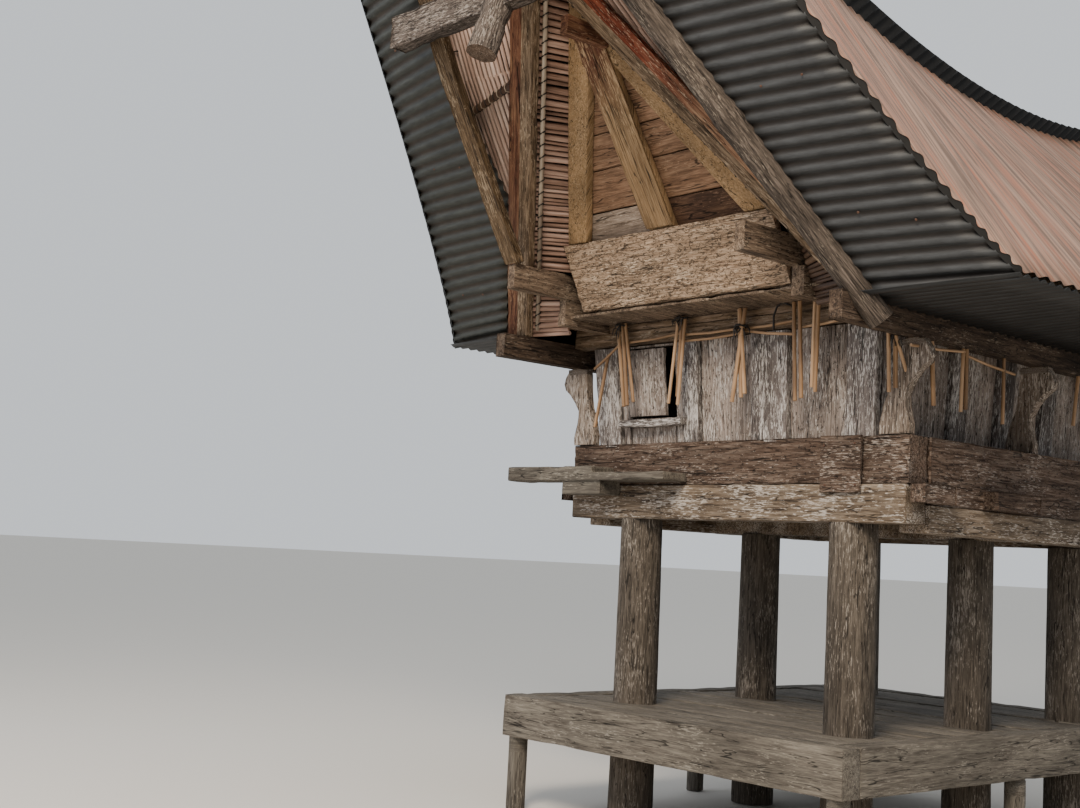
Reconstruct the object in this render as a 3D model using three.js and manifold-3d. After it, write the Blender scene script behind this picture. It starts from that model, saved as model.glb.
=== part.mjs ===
// Raised rice barn of the tongkonan kind, with a saddle roof of corrugated sheet.
//
// Frame: millimetres, +Z up. Lengths along Y are measured from the middle of the
// store box, and the whole barn is moved at the end so that its origin lies on the
// ground under the middle of the roof. The front gable, with its tall prow, faces
// -Y, and +X is the right side. Each gable is written once: end is -1 for the front
// and +1 for the rear, and a length called forward runs out towards that end.
import * as THREE from 'three';
import Module from 'manifold-3d';
import { mergeVertices } from 'three/addons/utils/BufferGeometryUtils.js';

const wasm = await Module();
wasm.setup();

const METRE = 1000;
const GAP = 0.3; // clearance kept where one piece is cut round or leans on another
const BITE = 1; // depth by which joined timbers run into each other
const WELD = 0.001; // corners closer than this are one corner
const FRONT = -1;
const REAR = 1;
const SIDES = { right: 1, left: -1 };

// Posts: three pairs under the box, a little to the right of its middle
const POST = { topRadius: 135, footRadius: 145, sides: 24, x: { right: 863, left: -755 } };
const POST_ROWS = { front: -1157, middle: -3, rear: 1151 };

// Sitting platform round the posts, on short legs
const PLATFORM = { left: -1350, right: 1250, half: 1720, top: 700, bottom: 445, width: 150 };
const DECK = { thick: 40, joistWidth: 120, joistDrop: 130, joistPlace: 560 };
const LEG = { radius: 62, sides: 12 };

// Floor frame and sills of the store box
const BOX = { half: 1280, length: 1290, width: 190 };
const FRONT_BEAM = [1830, 2040];
const REAR_BEAM = [1790, 2000];
const SIDE_BEAM = [1790, 1940];
const FLOOR_BOARD = 30;
const SILL = { half: 1300, top: 2300 };
const BEAM_END = { outer: 1395, z: [1942, 2045], places: [[-1290, -980], [-600, -120]] };

// Walls of boards and proud stiles, leaning outwards
const WALL = { half: 1060, face: 1275, top: 2920, lean: 45, stile: 62, panel: 34 };
const END_STILES = [[-1060, -860], [-330, -196], [200, 469], [860, 1060]];
const SIDE_STILES = [[-1212, -1010], [-560, -400], [-80, 90], [400, 560], [1010, 1212]];
const HATCH = { left: -790, right: -405, bottom: 2465, top: 2895, plankRight: -475, sink: 14 };
const LEDGE = { x: [-840, -296], z: [2400, 2455], front: -1335 };

// Eave plates and the carved brackets below them. A bracket's outline gives its
// distance from the middle and its share of the height between sill and plate.
const PLATE = { inner: 1255, outer: 1340, bottom: 2805, top: 2955, front: -1950, rear: 2530 };
const BRACKET = { thick: 62, places: [-1259, -20, 1259] };
const BRACKET_OUTLINE = [
  [1100, 0], [1286, 0], [1290, 0.1], [1264, 0.28], [1262, 0.42], [1303, 0.56], [1345, 0.66], [1396, 0.73],
  [1414, 0.81], [1398, 0.9], [1375, 0.96], [1375, 1],
  [1197, 1], [1190, 0.8], [1166, 0.5], [1122, 0.3], [1102, 0.12],
];

// Boards on edge that run out through each gable, the lintel over the end wall, and
// the broad cross board in front of it
const LINTEL = { inner: 1250, outer: 1350, top: 3070, floor: 25, reach: 1700 };
const SHORT_BEAM = { right: [850, 940], left: [-994, -920], z: [2995, 3160], end: 1750 };
const UPPER_BEAM = { right: [829, 903], left: [-982, -905], z: [3160, 3320], end: 2190 };
const BEAM_LENGTH = 1100;
const CROSS_BOARD = { half: 820, bottom: 3070, top: 3460, thick: 62, forward: 1900, lean: 0.5 };

// Leaning planes of the gable
const LEAN = 0.667;
const GABLE_BOARD = { outer: 785, slope: 0.66, width: 164, thick: 48, forward: 1880 };
const GABLE_WALL = { bottom: 3380, thick: 26, half: 800, top: 4600 };
const PLANK = { half: 100, top: 4260, thick: 40 };
const INNER_RAFTER = {
  forward: 2273, height: 3700, outer: 910, slope: 0.727, width: 203, thick: 50, top: 4760,
};

// Outer rafters, by the points of their axes: distance from the middle, forward, height
const LOG = { radius: 74, sides: 10 };
const RAFTER_BOARD = { width: 124, thick: 54 };
const RAFTER_RISE = [[765, 2880, 4300], [423, 3640, 5250], [0, 4330, 7046]];
const RIGHT_AXIS = [[1414, 1721, 2818], ...RAFTER_RISE];
const LEFT_AXIS = [[940, 2165, 3322], ...RAFTER_RISE];
const REAR_AXIS = [[1414, 2330, 2818], [0, 3950, 5226]];
const TIE = { half: 920, y: [-3190, -3070], z: [4370, 4560] };
const KING_POST = { radius: 90, sides: 16, foot: [0, -3242, 4102], head: [0, -2610, 6040] };

// Roof: the ridge rises as a smooth curve from its low point to both prows
const RIDGE = { lowY: 1860, lowZ: 5020, front: -6020, rear: 4630 };
const RIDGE_RISE = { front: [68.4, -1.57], rear: [64, 16.24] };
const EAVE = { half: 2160, height: 3000, front: -1666, rear: 2250 };
const RIDGE_AT_CORNER = { front: -345, rear: 2780 };
const FRONT_BARGE = [[2160, -1666, 3000], [1500, -2430, 3900], [680, -4880, 6990], [46, -6020, 8480]];
const REAR_BARGE = [[2160, 2250, 3000], [1820, 2665, 3500], [520, 4022, 5050], [46, 4630, 5838]];
const ROOF = { thick: 30, ridgeLap: 70, ridgeGap: 22, ridgeShare: 1 / 3, bargeSteps: 14, eaveSteps: 10 };

// Ridge pole; towards both prows its section shrinks to the given shares
const RIDGE_POLE = { half: 62, shoulder: 1.2, depth: 130, steps: 26, inset: 60, taper: 900 };
const RIDGE_POLE_TIP = { half: 0.2, depth: 0.3 };
const SOFFIT = { thick: 22, steps: 16, low: 2985, tuck: 6, end: 0.97, drop: 4, short: 10 };

// Linings of rods; the fan beside an inner rafter starts at the given height
const LINING = { thick: 24, steps: 12, low: 2985, inset: 40, sink: 18, seam: 4, apex: 120 };
const FAN_FROM = { right: 3050, left: 3780, rear: 0 };

const SHELF = { plank: [-1700, -885], board: [-890, -262], front: -1500, z: [2050, 2150], boardDrop: 40 };
const SHELF_BRACKET = { x: [-1180, -820], setback: 20, drop: 85 };

function wood(color, roughness = 0.85) {
  return new THREE.MeshStandardMaterial({ color, roughness, metalness: 0 });
}

function sheet(color) {
  return new THREE.MeshStandardMaterial({ color, roughness: 0.55, metalness: 0.6 });
}

const postWood = wood(0x7d746b);
const platformWood = wood(0x8d8478);
const beamWood = wood(0x6f655b);
const sillWood = wood(0x5d4a40);
const wallWood = wood(0x978272);
const plateWood = wood(0x6b5d51);
const crossBoardWood = wood(0xa08a76);
const ochreWood = wood(0x94724d);
const redWood = wood(0x7a4f38);
const logWood = wood(0x87786b);
const bamboo = wood(0xa77f55);
const rustySheet = sheet(0x8c7568);
const greySheet = sheet(0x55585a);

const at = (x, y, z) => new THREE.Vector3(x, y, z);
const { lerp } = THREE.MathUtils;

// Closed solids

function signedVolume(positions, index) {
  const corner = (i) => new THREE.Vector3().fromArray(positions, 3 * index[i]);
  let volume = 0;
  for (let i = 0; i < index.length; i += 3) {
    volume += corner(i).dot(corner(i + 1).cross(corner(i + 2))) / 6;
  }
  return volume;
}

// Body through a row of rings with the same number of points. The end caps follow
// a flat outline where one is given, and are fans otherwise.
function loft(rings, outline = null) {
  const count = rings[0].length;
  const positions = rings.flat().flatMap((p) => [p.x, p.y, p.z]);
  const index = [];
  for (let k = 0; k + 1 < rings.length; k += 1) {
    for (let i = 0; i < count; i += 1) {
      const a = k * count + i;
      const b = k * count + ((i + 1) % count);
      index.push(a, b, a + count, b, b + count, a + count);
    }
  }
  const last = (rings.length - 1) * count;
  const fan = Array.from({ length: count - 2 }, (_, i) => [0, i + 1, i + 2]);
  const faces = outline ? THREE.ShapeUtils.triangulateShape(outline, []) : fan;
  for (const [a, b, c] of faces) {
    index.push(a, c, b, last + a, last + b, last + c);
  }
  const geometry = new THREE.BufferGeometry();
  geometry.setAttribute('position', new THREE.Float32BufferAttribute(positions, 3));
  geometry.setIndex(signedVolume(positions, index) < 0 ? index.reverse() : index);
  return geometry;
}

// Body between two copies of a flat outline, each placed by its own rule. The
// outline is put in counter-clockwise order so that the caps match the sides.
function prism(outline, place, placeBack) {
  let flat = outline.map(([u, v]) => new THREE.Vector2(u, v));
  if (THREE.ShapeUtils.isClockWise(flat)) flat = flat.reverse();
  const front = flat.map((p) => place(p.x, p.y));
  const back = flat.map((p) => placeBack(p.x, p.y));
  return loft([front, back], flat);
}

function box([x0, x1], [y0, y1], [z0, z1]) {
  const geometry = new THREE.BoxGeometry(Math.abs(x1 - x0), Math.abs(y1 - y0), Math.abs(z1 - z0));
  return geometry.translate((x0 + x1) / 2, (y0 + y1) / 2, (z0 + z1) / 2);
}

function toSolid(geometry) {
  const bare = new THREE.BufferGeometry();
  bare.setAttribute('position', geometry.getAttribute('position').clone());
  bare.setIndex(geometry.getIndex());
  const merged = mergeVertices(bare, WELD);
  return new wasm.Manifold(new wasm.Mesh({
    numProp: 3,
    vertProperties: Float32Array.from(merged.getAttribute('position').array),
    triVerts: Uint32Array.from(merged.getIndex().array),
  }));
}

function toGeometry(solid) {
  const mesh = solid.getMesh();
  const geometry = new THREE.BufferGeometry();
  geometry.setAttribute('position', new THREE.Float32BufferAttribute(mesh.vertProperties, 3));
  geometry.setIndex([...mesh.triVerts]);
  return geometry;
}

function join(...geometries) {
  return toGeometry(geometries.map(toSolid).reduce((sum, solid) => sum.add(solid)));
}

// Cuts tools out of a piece, with the clearance left along each of the three axes.
// Crumbs that a slanting cut leaves beside the piece are dropped.
function carve(geometry, ...tools) {
  const shifts = [[1, 0, 0], [-1, 0, 0], [0, 1, 0], [0, -1, 0], [0, 0, 1], [0, 0, -1]];
  let solid = toSolid(geometry);
  for (const tool of tools) {
    const cutter = toSolid(tool);
    for (const [x, y, z] of shifts) {
      solid = solid.subtract(cutter.translate([x * GAP, y * GAP, z * GAP]));
    }
  }
  const bodies = solid.decompose().sort((a, b) => b.volume() - a.volume());
  return toGeometry(bodies[0]);
}

const barn = new THREE.Group();

function add(name, geometry, material) {
  const mesh = new THREE.Mesh(geometry, material);
  mesh.name = name;
  barn.add(mesh);
  return geometry;
}

// Pieces already made whose names start with the given words
function made(start) {
  return barn.children.filter((mesh) => mesh.name.startsWith(start)).map((mesh) => mesh.geometry);
}

// Timber of any section along a run of points; the section's first direction lies
// across the building
function timber(points, section) {
  const path = points.map((p) => at(...p));
  const rings = path.map((p, i) => {
    const before = path[Math.max(i - 1, 0)];
    const after = path[Math.min(i + 1, path.length - 1)];
    const along = after.clone().sub(before).normalize();
    const across = at(1, 0, 0).addScaledVector(along, -along.x).normalize();
    const other = along.clone().cross(across);
    return section.map(([u, v]) => p.clone().addScaledVector(across, u).addScaledVector(other, v));
  });
  return loft(rings);
}

function roundSection(radius, sides) {
  return Array.from({ length: sides }, (_, i) => {
    const angle = (2 * Math.PI * i) / sides;
    return [radius * Math.cos(angle), radius * Math.sin(angle)];
  });
}

function flatSection(width, thick) {
  return [[-1, -1], [1, -1], [1, 1], [-1, 1]].map(([u, v]) => [(u * width) / 2, (v * thick) / 2]);
}

// Posts and platform

function upright(x, y, top, { topRadius, footRadius, sides }) {
  const shape = new THREE.CylinderGeometry(topRadius, footRadius, top, sides);
  return shape.rotateX(Math.PI / 2).translate(x, y, top / 2);
}

function makePosts() {
  for (const [row, y] of Object.entries(POST_ROWS)) {
    const top = row === 'front' ? FRONT_BEAM[0] : SIDE_BEAM[0];
    for (const [side, x] of Object.entries(POST.x)) {
      add(`post_${row}_${side}`, upright(x, y, top, POST), postWood);
    }
  }
}

// Each edge beam of the platform stands on its own legs
function makePlatform() {
  const { left, right, half, top, bottom, width } = PLATFORM;
  const inner = half - width;
  const rails = { left: left + width / 2, right: right - width / 2 };
  const round = { topRadius: LEG.radius, footRadius: LEG.radius, sides: LEG.sides };
  const leg = (x, y) => upright(x, y, bottom + BITE, round);
  for (const [name, end] of Object.entries({ front: FRONT, rear: REAR })) {
    const beam = box([left, right], [end * inner, end * half], [bottom, top]);
    const legs = Object.values(rails).map((x) => leg(x, end * (half - width / 2)));
    add(`platform_beam_${name}`, join(beam, ...legs), platformWood);
  }
  for (const [name, x] of Object.entries(rails)) {
    const beam = box([x - width / 2, x + width / 2], [-inner, inner], [bottom, top]);
    add(`platform_beam_${name}`, join(beam, leg(x, 0)), platformWood);
  }

  const across = [left + width, right - width];
  const under = top - DECK.thick;
  const joists = [FRONT, REAR].map((end) => {
    const edges = [DECK.joistPlace - DECK.joistWidth / 2, DECK.joistPlace + DECK.joistWidth / 2];
    return box(across, edges.map((y) => end * y), [under - DECK.joistDrop, under + BITE]);
  });
  const deck = join(box(across, [-inner, inner], [under, top]), ...joists);
  add('platform_deck', carve(deck, ...made('post_')), platformWood);
}

// Store box

// The side and middle beams carry the floor boards and make one piece with them
function makeFloorFrame() {
  const { half, length, width } = BOX;
  const inner = length - width;
  const sideInner = SILL.half - width;
  add('floor_beam_front', box([-half, half], [-length, -inner], FRONT_BEAM), beamWood);
  add('floor_beam_rear', box([-half, half], [inner, length], REAR_BEAM), beamWood);
  const rails = Object.values(SIDES).map((side) => (
    box([side * sideInner, side * SILL.half], [-inner, inner], SIDE_BEAM)
  ));
  const middle = box([-sideInner - BITE, sideInner + BITE], [-width / 2, width / 2], SIDE_BEAM);
  const boards = [SIDE_BEAM[1] - BITE, SIDE_BEAM[1] + FLOOR_BOARD];
  const floor = box([-sideInner, sideInner], [-inner, inner], boards);
  add('store_floor', join(...rails, middle, floor), beamWood);
}

// Sills; the side ones carry the ends of the cross beams, which show outside
function makeSills() {
  const { half, top } = SILL;
  const inner = BOX.length - BOX.width;
  add('sill_front', box([-half, half], [-BOX.length, -inner], [FRONT_BEAM[1], top]), sillWood);
  add('sill_rear', box([-half, half], [inner, BOX.length], [REAR_BEAM[1], top]), sillWood);
  for (const [name, side] of Object.entries(SIDES)) {
    const body = box([side * (half - BOX.width), side * half], [-inner, inner], [SIDE_BEAM[1], top]);
    const ends = BEAM_END.places.flatMap(([y0, y1]) => [
      box([side * (half + GAP), side * BEAM_END.outer], [y0, y1], BEAM_END.z),
      box([side * (half - BITE), side * (half + BITE)], [Math.max(y0, BITE - inner), y1], BEAM_END.z),
    ]);
    add(`sill_${name}`, join(body, ...ends), sillWood);
  }
}

// Wall with proud stiles, drawn in plan for its foot; its head is shifted outwards.
// The plan runs along the wall in u, with v as the depth in from the face.
function wallPlan(half, stiles) {
  const sunk = WALL.stile - WALL.panel;
  const outline = [[-half, WALL.stile]];
  for (const [start, stop] of stiles) {
    if (start > -half) outline.push([start, sunk]);
    outline.push([start, 0], [stop, 0]);
    if (stop < half) outline.push([stop, sunk]);
  }
  outline.push([half, WALL.stile]);
  return outline;
}

const WALL_HEIGHTS = [SILL.top, WALL.top];
const spread = (half, level) => (half + level * WALL.lean) / half;

function endWall(end) {
  const place = (level) => (u, v) => (
    at(u * spread(WALL.half, level), end * (WALL.face + level * WALL.lean - v), WALL_HEIGHTS[level])
  );
  return prism(wallPlan(WALL.half, END_STILES), place(0), place(1));
}

function sideWall(side) {
  const half = WALL.face - WALL.stile - 2 * GAP;
  const stiles = SIDE_STILES.map((stile) => stile.map((y) => THREE.MathUtils.clamp(y, -half, half)));
  const place = (level) => (u, v) => (
    at(side * (WALL.half + level * WALL.lean - v), u * spread(half, level), WALL_HEIGHTS[level])
  );
  return prism(wallPlan(half, stiles), place(0), place(1));
}

function makeWalls() {
  const through = [-WALL.face - 2 * WALL.lean, -WALL.face + 2 * WALL.stile];
  const opening = box([HATCH.left, HATCH.right], through, [HATCH.bottom, HATCH.top]);
  const front = add('wall_front', carve(endWall(FRONT), opening), wallWood);
  add('wall_rear', endWall(REAR), wallWood);
  add('wall_right', sideWall(SIDES.right), wallWood);
  add('wall_left', sideWall(SIDES.left), wallWood);

  const face = (z) => WALL.face + (WALL.lean * (z - SILL.top)) / (WALL.top - SILL.top);
  const plank = prism(
    [[HATCH.left + GAP, HATCH.bottom + GAP], [HATCH.plankRight, HATCH.bottom + GAP],
      [HATCH.plankRight, HATCH.top - GAP], [HATCH.left + GAP, HATCH.top - GAP]],
    (x, z) => at(x, -face(z) + HATCH.sink, z),
    (x, z) => at(x, -face(z) + HATCH.sink + WALL.panel, z),
  );
  add('hatch_plank', plank, wallWood);
  const ledge = box(LEDGE.x, [LEDGE.front, -WALL.face + WALL.stile / 2], LEDGE.z);
  add('hatch_ledge', carve(ledge, front), wallWood);
}

// Eave plates, each in one piece with the carved brackets that stand on the sill
function makePlates() {
  const rise = PLATE.bottom + BITE - SILL.top - GAP;
  for (const [name, side] of Object.entries(SIDES)) {
    const brackets = BRACKET.places.map((y) => {
      const place = (shift) => (x, share) => at(side * x, y + shift, SILL.top + GAP + share * rise);
      return prism(BRACKET_OUTLINE, place(-BRACKET.thick / 2), place(BRACKET.thick / 2));
    });
    const x = [side * PLATE.inner, side * PLATE.outer];
    const plate = box(x, [PLATE.front, PLATE.rear], [PLATE.bottom, PLATE.top]);
    add(`plate_${name}`, carve(join(plate, ...brackets), ...made('wall_')), plateWood);
  }
}

// Gables

// Depth along Y of a leaning board, whose ends are cut level
const depthOf = (thick, lean = LEAN) => thick * Math.hypot(1, lean);

// Board in a leaning plane: the outline holds x and z of its front face
function leaningBoard(outline, end, { forward, height, thick, lean = LEAN }) {
  const place = (back) => (x, z) => at(x, end * (forward - back + lean * (z - height)), z);
  return prism(outline, place(0), place(depthOf(thick, lean)));
}

const gableForward = (z) => GABLE_BOARD.forward + LEAN * (z - CROSS_BOARD.top);
const gableEdge = (z) => GABLE_BOARD.outer - GABLE_BOARD.slope * (z - CROSS_BOARD.top);
const rafterForward = (z) => INNER_RAFTER.forward + LEAN * (z - INNER_RAFTER.height);
const rafterEdge = (z) => INNER_RAFTER.outer - INNER_RAFTER.slope * (z - INNER_RAFTER.height);

// Boards of one gable that run out through it, tied together by the lintel
function gableBeams(end) {
  const beams = [SHORT_BEAM, UPPER_BEAM].flatMap((beam) => [beam.right, beam.left].map((x) => (
    box(x, [end * beam.end, end * (beam.end - BEAM_LENGTH)], beam.z)
  )));
  const half = PLATE.inner - GAP;
  const lintel = box([-half, half], [end * LINTEL.inner, end * LINTEL.outer], [WALL.top, LINTEL.top]);
  const floor = box([-half, half], [end * (LINTEL.outer - BITE), end * LINTEL.reach],
    [LINTEL.top - LINTEL.floor, LINTEL.top]);
  return join(lintel, floor, ...beams);
}

function innerRafter(end, side) {
  const { width, outer, slope, height, top } = INNER_RAFTER;
  const foot = PLATE.top + GAP;
  const meeting = height + (outer - width) / slope;
  const outline = [
    [rafterEdge(foot) - width, foot], [rafterEdge(foot), foot],
    [rafterEdge(top), top], [GAP, top], [GAP, meeting],
  ];
  return leaningBoard(outline.map(([x, z]) => [side * x, z]), end, INNER_RAFTER);
}

// Two boards that meet in the middle, with the upright plank between their feet
function gableBoards(end, plank) {
  const { outer, slope, width, thick, forward } = GABLE_BOARD;
  const base = CROSS_BOARD.top + GAP;
  const head = (x) => CROSS_BOARD.top + x / slope;
  const outline = [
    [outer - width, base], [outer, base], [0, head(outer)],
    [-outer, base], [width - outer, base], [0, head(outer - width)],
  ];
  return join(leaningBoard(outline, end, { forward, height: CROSS_BOARD.top, thick }), plank);
}

function makeGable(end, name) {
  const beams = add(`gable_beams_${name}`, gableBeams(end), plateWood);
  const { half, bottom, top } = CROSS_BOARD;
  const boardOutline = [[-half, bottom + GAP], [half, bottom + GAP], [half, top], [-half, top]];
  const board = leaningBoard(boardOutline, end, { ...CROSS_BOARD, height: top });
  add(`cross_board_${name}`, carve(board, beams), crossBoardWood);

  const forward = GABLE_BOARD.forward - depthOf(GABLE_BOARD.thick) - 2 * GAP;
  const { half: wallHalf, bottom: wallFoot, top: wallTop } = GABLE_WALL;
  const wallOutline = [[-wallHalf, wallFoot], [wallHalf, wallFoot], [0, wallTop]];
  const wall = leaningBoard(wallOutline, end, { height: top, forward, thick: GABLE_WALL.thick });
  add(`gable_wall_${name}`, wall, redWood);

  const foot = top + GAP;
  const plankOutline = [
    [-PLANK.half, foot], [PLANK.half, foot], [PLANK.half, PLANK.top], [-PLANK.half, PLANK.top],
  ];
  const plankForward = forward + depthOf(PLANK.thick) + 2 * GAP;
  const plank = leaningBoard(plankOutline, end, { height: top, thick: PLANK.thick, forward: plankForward });
  add(`gable_boards_${name}`, gableBoards(end, plank), ochreWood);
}

// Outer rafters

const placed = (end, side, [x, forward, z]) => [side * x, end * forward, z];

// Place on a rafter's axis at a height: distance from the middle, and forward
function axisAt(points, z) {
  const next = points.findIndex((p, i) => i > 0 && (z <= p[2] || i === points.length - 1));
  const [a, b] = [points[next - 1], points[next]];
  const share = (z - a[2]) / (b[2] - a[2]);
  return { x: lerp(a[0], b[0], share), forward: lerp(a[1], b[1], share) };
}

// Half of a rafter frame: the part beyond the middle is cut away
function halfOf(geometry, side) {
  const reach = 3 * METRE;
  return carve(geometry, box([-side * reach, side * GAP], [-3 * reach, 3 * reach], [0, 3 * reach]));
}

// Lining of rods on one side of a gable: from the outer rafter to the inner one,
// behind it, and on to the gable board or, lower down, to the beams
function lining(end, side, axis, from) {
  const { thick, steps, low, inset, sink, seam } = LINING;
  const top = CROSS_BOARD.top;
  const beamSides = [SHORT_BEAM.right, SHORT_BEAM.left].flat().map((x) => side * x);
  const beamEdge = Math.max(...beamSides) + 2 * GAP;
  const run = (bottom, head) => Array.from({ length: steps + 1 }, (_, i) => lerp(bottom, head, i / steps));
  const heights = [...run(low, top - sink), ...run(top + seam, INNER_RAFTER.top - seam)];
  const rings = heights.map((z) => {
    const behind = rafterForward(z) - depthOf(INNER_RAFTER.thick) - 2 * GAP;
    const { x, forward } = axisAt(axis, z);
    const knee = rafterEdge(z) + seam;
    const outer = z > from
      ? [Math.max(x - inset, knee + thick), forward - inset]
      : [knee + thick, behind + sink];
    const beside = Math.max(knee - INNER_RAFTER.width + sink, 2 * sink);
    const back = z > top
      ? [Math.max(gableEdge(z) + 3 * GAP, sink), gableForward(z) - sink]
      : [beamEdge, CROSS_BOARD.forward + CROSS_BOARD.lean * (z - top)];
    const ring = [
      [outer[0] - thick, outer[1]], [knee, behind], [beside, behind], back,
      [back[0] + thick / 2, back[1] - thick], [beside, behind - thick], [knee + thick, behind - thick], outer,
    ];
    return ring.map(([u, v]) => new THREE.Vector2(u, v));
  });
  const place = (ring, z) => ring.map((p) => at(side * p.x, end * p.y, z));
  return loft(rings.map((ring, i) => place(ring, heights[i])), rings[0]);
}

// Lining above the inner rafters, folded along the middle of the gable
function upperLining(end, axis) {
  const { thick, steps, inset } = LINING;
  const low = INNER_RAFTER.top + 2 * LINING.seam;
  const apex = axis[axis.length - 1];
  const high = apex[2] - LINING.apex;
  const start = rafterForward(low) - depthOf(INNER_RAFTER.thick) / 2;
  const rings = Array.from({ length: steps + 1 }, (_, i) => {
    const z = lerp(low, high, i / steps);
    const { x, forward } = axisAt(axis, z);
    const half = Math.max(x - inset, thick);
    const middle = lerp(start, apex[1], (z - low) / (apex[2] - low));
    const face = [[half, forward - inset], [0, middle], [-half, forward - inset]];
    const inside = face.slice().reverse().map(([u, v]) => [u, v - thick]);
    return [...face, ...inside].map(([u, v]) => at(u, end * v, z));
  });
  return loft(rings);
}

// Roof

function ridgeZ(y) {
  const u = (RIDGE.lowY - y) / METRE;
  const [square, cube] = u > 0 ? RIDGE_RISE.front : RIDGE_RISE.rear;
  return RIDGE.lowZ + square * u * u + cube * Math.abs(u) ** 3;
}

const bargeCurve = (points) => new THREE.CubicBezierCurve3(...points.map((p) => at(...p)));
const frontBarge = bargeCurve(FRONT_BARGE);
const rearBarge = bargeCurve(REAR_BARGE);

// Pairs of places, on the lower edge and on the ridge, that one sheet runs between
function roofStations() {
  const { bargeSteps, eaveSteps } = ROOF;
  const stations = [];
  for (let i = 0; i < bargeSteps; i += 1) {
    const t = 1 - i / bargeSteps;
    stations.push({ edge: frontBarge.getPoint(t), ridge: lerp(RIDGE_AT_CORNER.front, RIDGE.front, t) });
  }
  for (let i = 0; i <= eaveSteps; i += 1) {
    const t = i / eaveSteps;
    const edge = at(EAVE.half, lerp(EAVE.front, EAVE.rear, t), EAVE.height);
    stations.push({ edge, ridge: lerp(RIDGE_AT_CORNER.front, RIDGE_AT_CORNER.rear, t) });
  }
  for (let i = 1; i <= bargeSteps; i += 1) {
    const t = i / bargeSteps;
    stations.push({ edge: rearBarge.getPoint(t), ridge: lerp(RIDGE_AT_CORNER.rear, RIDGE.rear, t) });
  }
  return stations;
}

// The left slope laps over the ridge, and the right one stops just short of it
function roofSlope(side) {
  const rings = roofStations().map(({ edge, ridge }) => {
    const top = at(0, ridge, ridgeZ(ridge));
    const fall = top.clone().sub(edge).divideScalar(edge.x);
    const short = Math.min(ROOF.ridgeGap, edge.x * ROOF.ridgeShare);
    const reach = side > 0 ? -short : Math.min(ROOF.ridgeLap, edge.x);
    const upper = top.clone().addScaledVector(fall, reach);
    const corners = [upper, edge, edge.clone(), upper.clone()];
    corners.slice(2).forEach((p) => p.setZ(p.z - ROOF.thick));
    return corners.map((p) => at(side * p.x, p.y, p.z));
  });
  return loft(rings);
}

function ridgePole() {
  const rings = [];
  for (let i = 0; i <= RIDGE_POLE.steps; i += 1) {
    const y = lerp(RIDGE.front + RIDGE_POLE.inset, RIDGE.rear - RIDGE_POLE.inset, i / RIDGE_POLE.steps);
    const taper = Math.min(1, (y - RIDGE.front) / RIDGE_POLE.taper, (RIDGE.rear - y) / RIDGE_POLE.taper);
    const half = RIDGE_POLE.half * lerp(RIDGE_POLE_TIP.half, 1, taper);
    const top = ridgeZ(y) - ROOF.thick;
    const shoulder = top - half * RIDGE_POLE.shoulder;
    const low = shoulder - RIDGE_POLE.depth * lerp(RIDGE_POLE_TIP.depth, 1, taper);
    const corners = [[0, top], [half, shoulder], [half, low], [-half, low], [-half, shoulder]];
    rings.push(corners.map(([x, z]) => at(x, y, z)));
  }
  return loft(rings);
}

// Leaning soffit between a barge and the outer rafter; above the rafters' apex its
// inner edge lies along the middle. At the front the two sides stay apart there, and
// at the rear they run into each other.
function leaningSoffit(end, side, curve, axis, inset) {
  const meeting = end === FRONT ? GAP : -SOFFIT.tuck;
  const apex = axis[axis.length - 1];
  const tip = curve.getPoint(1);
  const rings = [];
  for (let i = 0; i <= SOFFIT.steps; i += 1) {
    const edge = curve.getPoint(lerp(0, SOFFIT.end, i / SOFFIT.steps));
    const z = Math.max(edge.z - ROOF.thick, SOFFIT.low);
    const outer = new THREE.Vector2(edge.x - SOFFIT.tuck, Math.abs(edge.y));
    const { x, forward } = axisAt(axis, Math.min(z, apex[2]));
    const above = Math.max(0, (z - apex[2]) / (tip.z - apex[2]));
    const off = inset * Math.SQRT1_2;
    const inner = new THREE.Vector2(Math.max(x + off, 0), forward + off);
    if (above > 0) inner.set(meeting, lerp(apex[1] + inset, Math.abs(tip.y), above));
    const back = new THREE.Vector2(0, -SOFFIT.thick);
    const corners = [outer, inner, inner.clone().add(back), outer.clone().add(back)];
    rings.push(corners.map((p) => at(side * p.x, end * p.y, z)));
  }
  return loft(rings);
}

// Flat soffit from a plate out to the eave
function sideSoffit(side) {
  const { thick, tuck, drop, short } = SOFFIT;
  const inner = side * (PLATE.outer + GAP);
  const outer = side * (EAVE.half - tuck);
  const head = EAVE.height - ROOF.thick;
  const ring = (y) => [
    at(inner, y, PLATE.top - thick - drop),
    at(outer, y, head - thick),
    at(outer, y, head - GAP),
    at(inner, y, PLATE.top - drop),
  ];
  return loft([ring(EAVE.front + short), ring(EAVE.rear - short)]);
}

function makeRoof() {
  const left = add('roof_slope_left', roofSlope(SIDES.left), rustySheet);
  const right = add('roof_slope_right', carve(roofSlope(SIDES.right), left), rustySheet);
  const slopes = [right, left];
  return { slopes, pole: add('ridge_pole', carve(ridgePole(), ...slopes), logWood) };
}

// The left soffit follows the inner rafter below the foot of the outer one
const LEFT_SOFFIT_AXIS = [
  [rafterEdge(SOFFIT.low), rafterForward(SOFFIT.low), SOFFIT.low],
  [rafterEdge(INNER_RAFTER.height), rafterForward(INNER_RAFTER.height), INNER_RAFTER.height],
  ...RAFTER_RISE,
];

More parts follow.
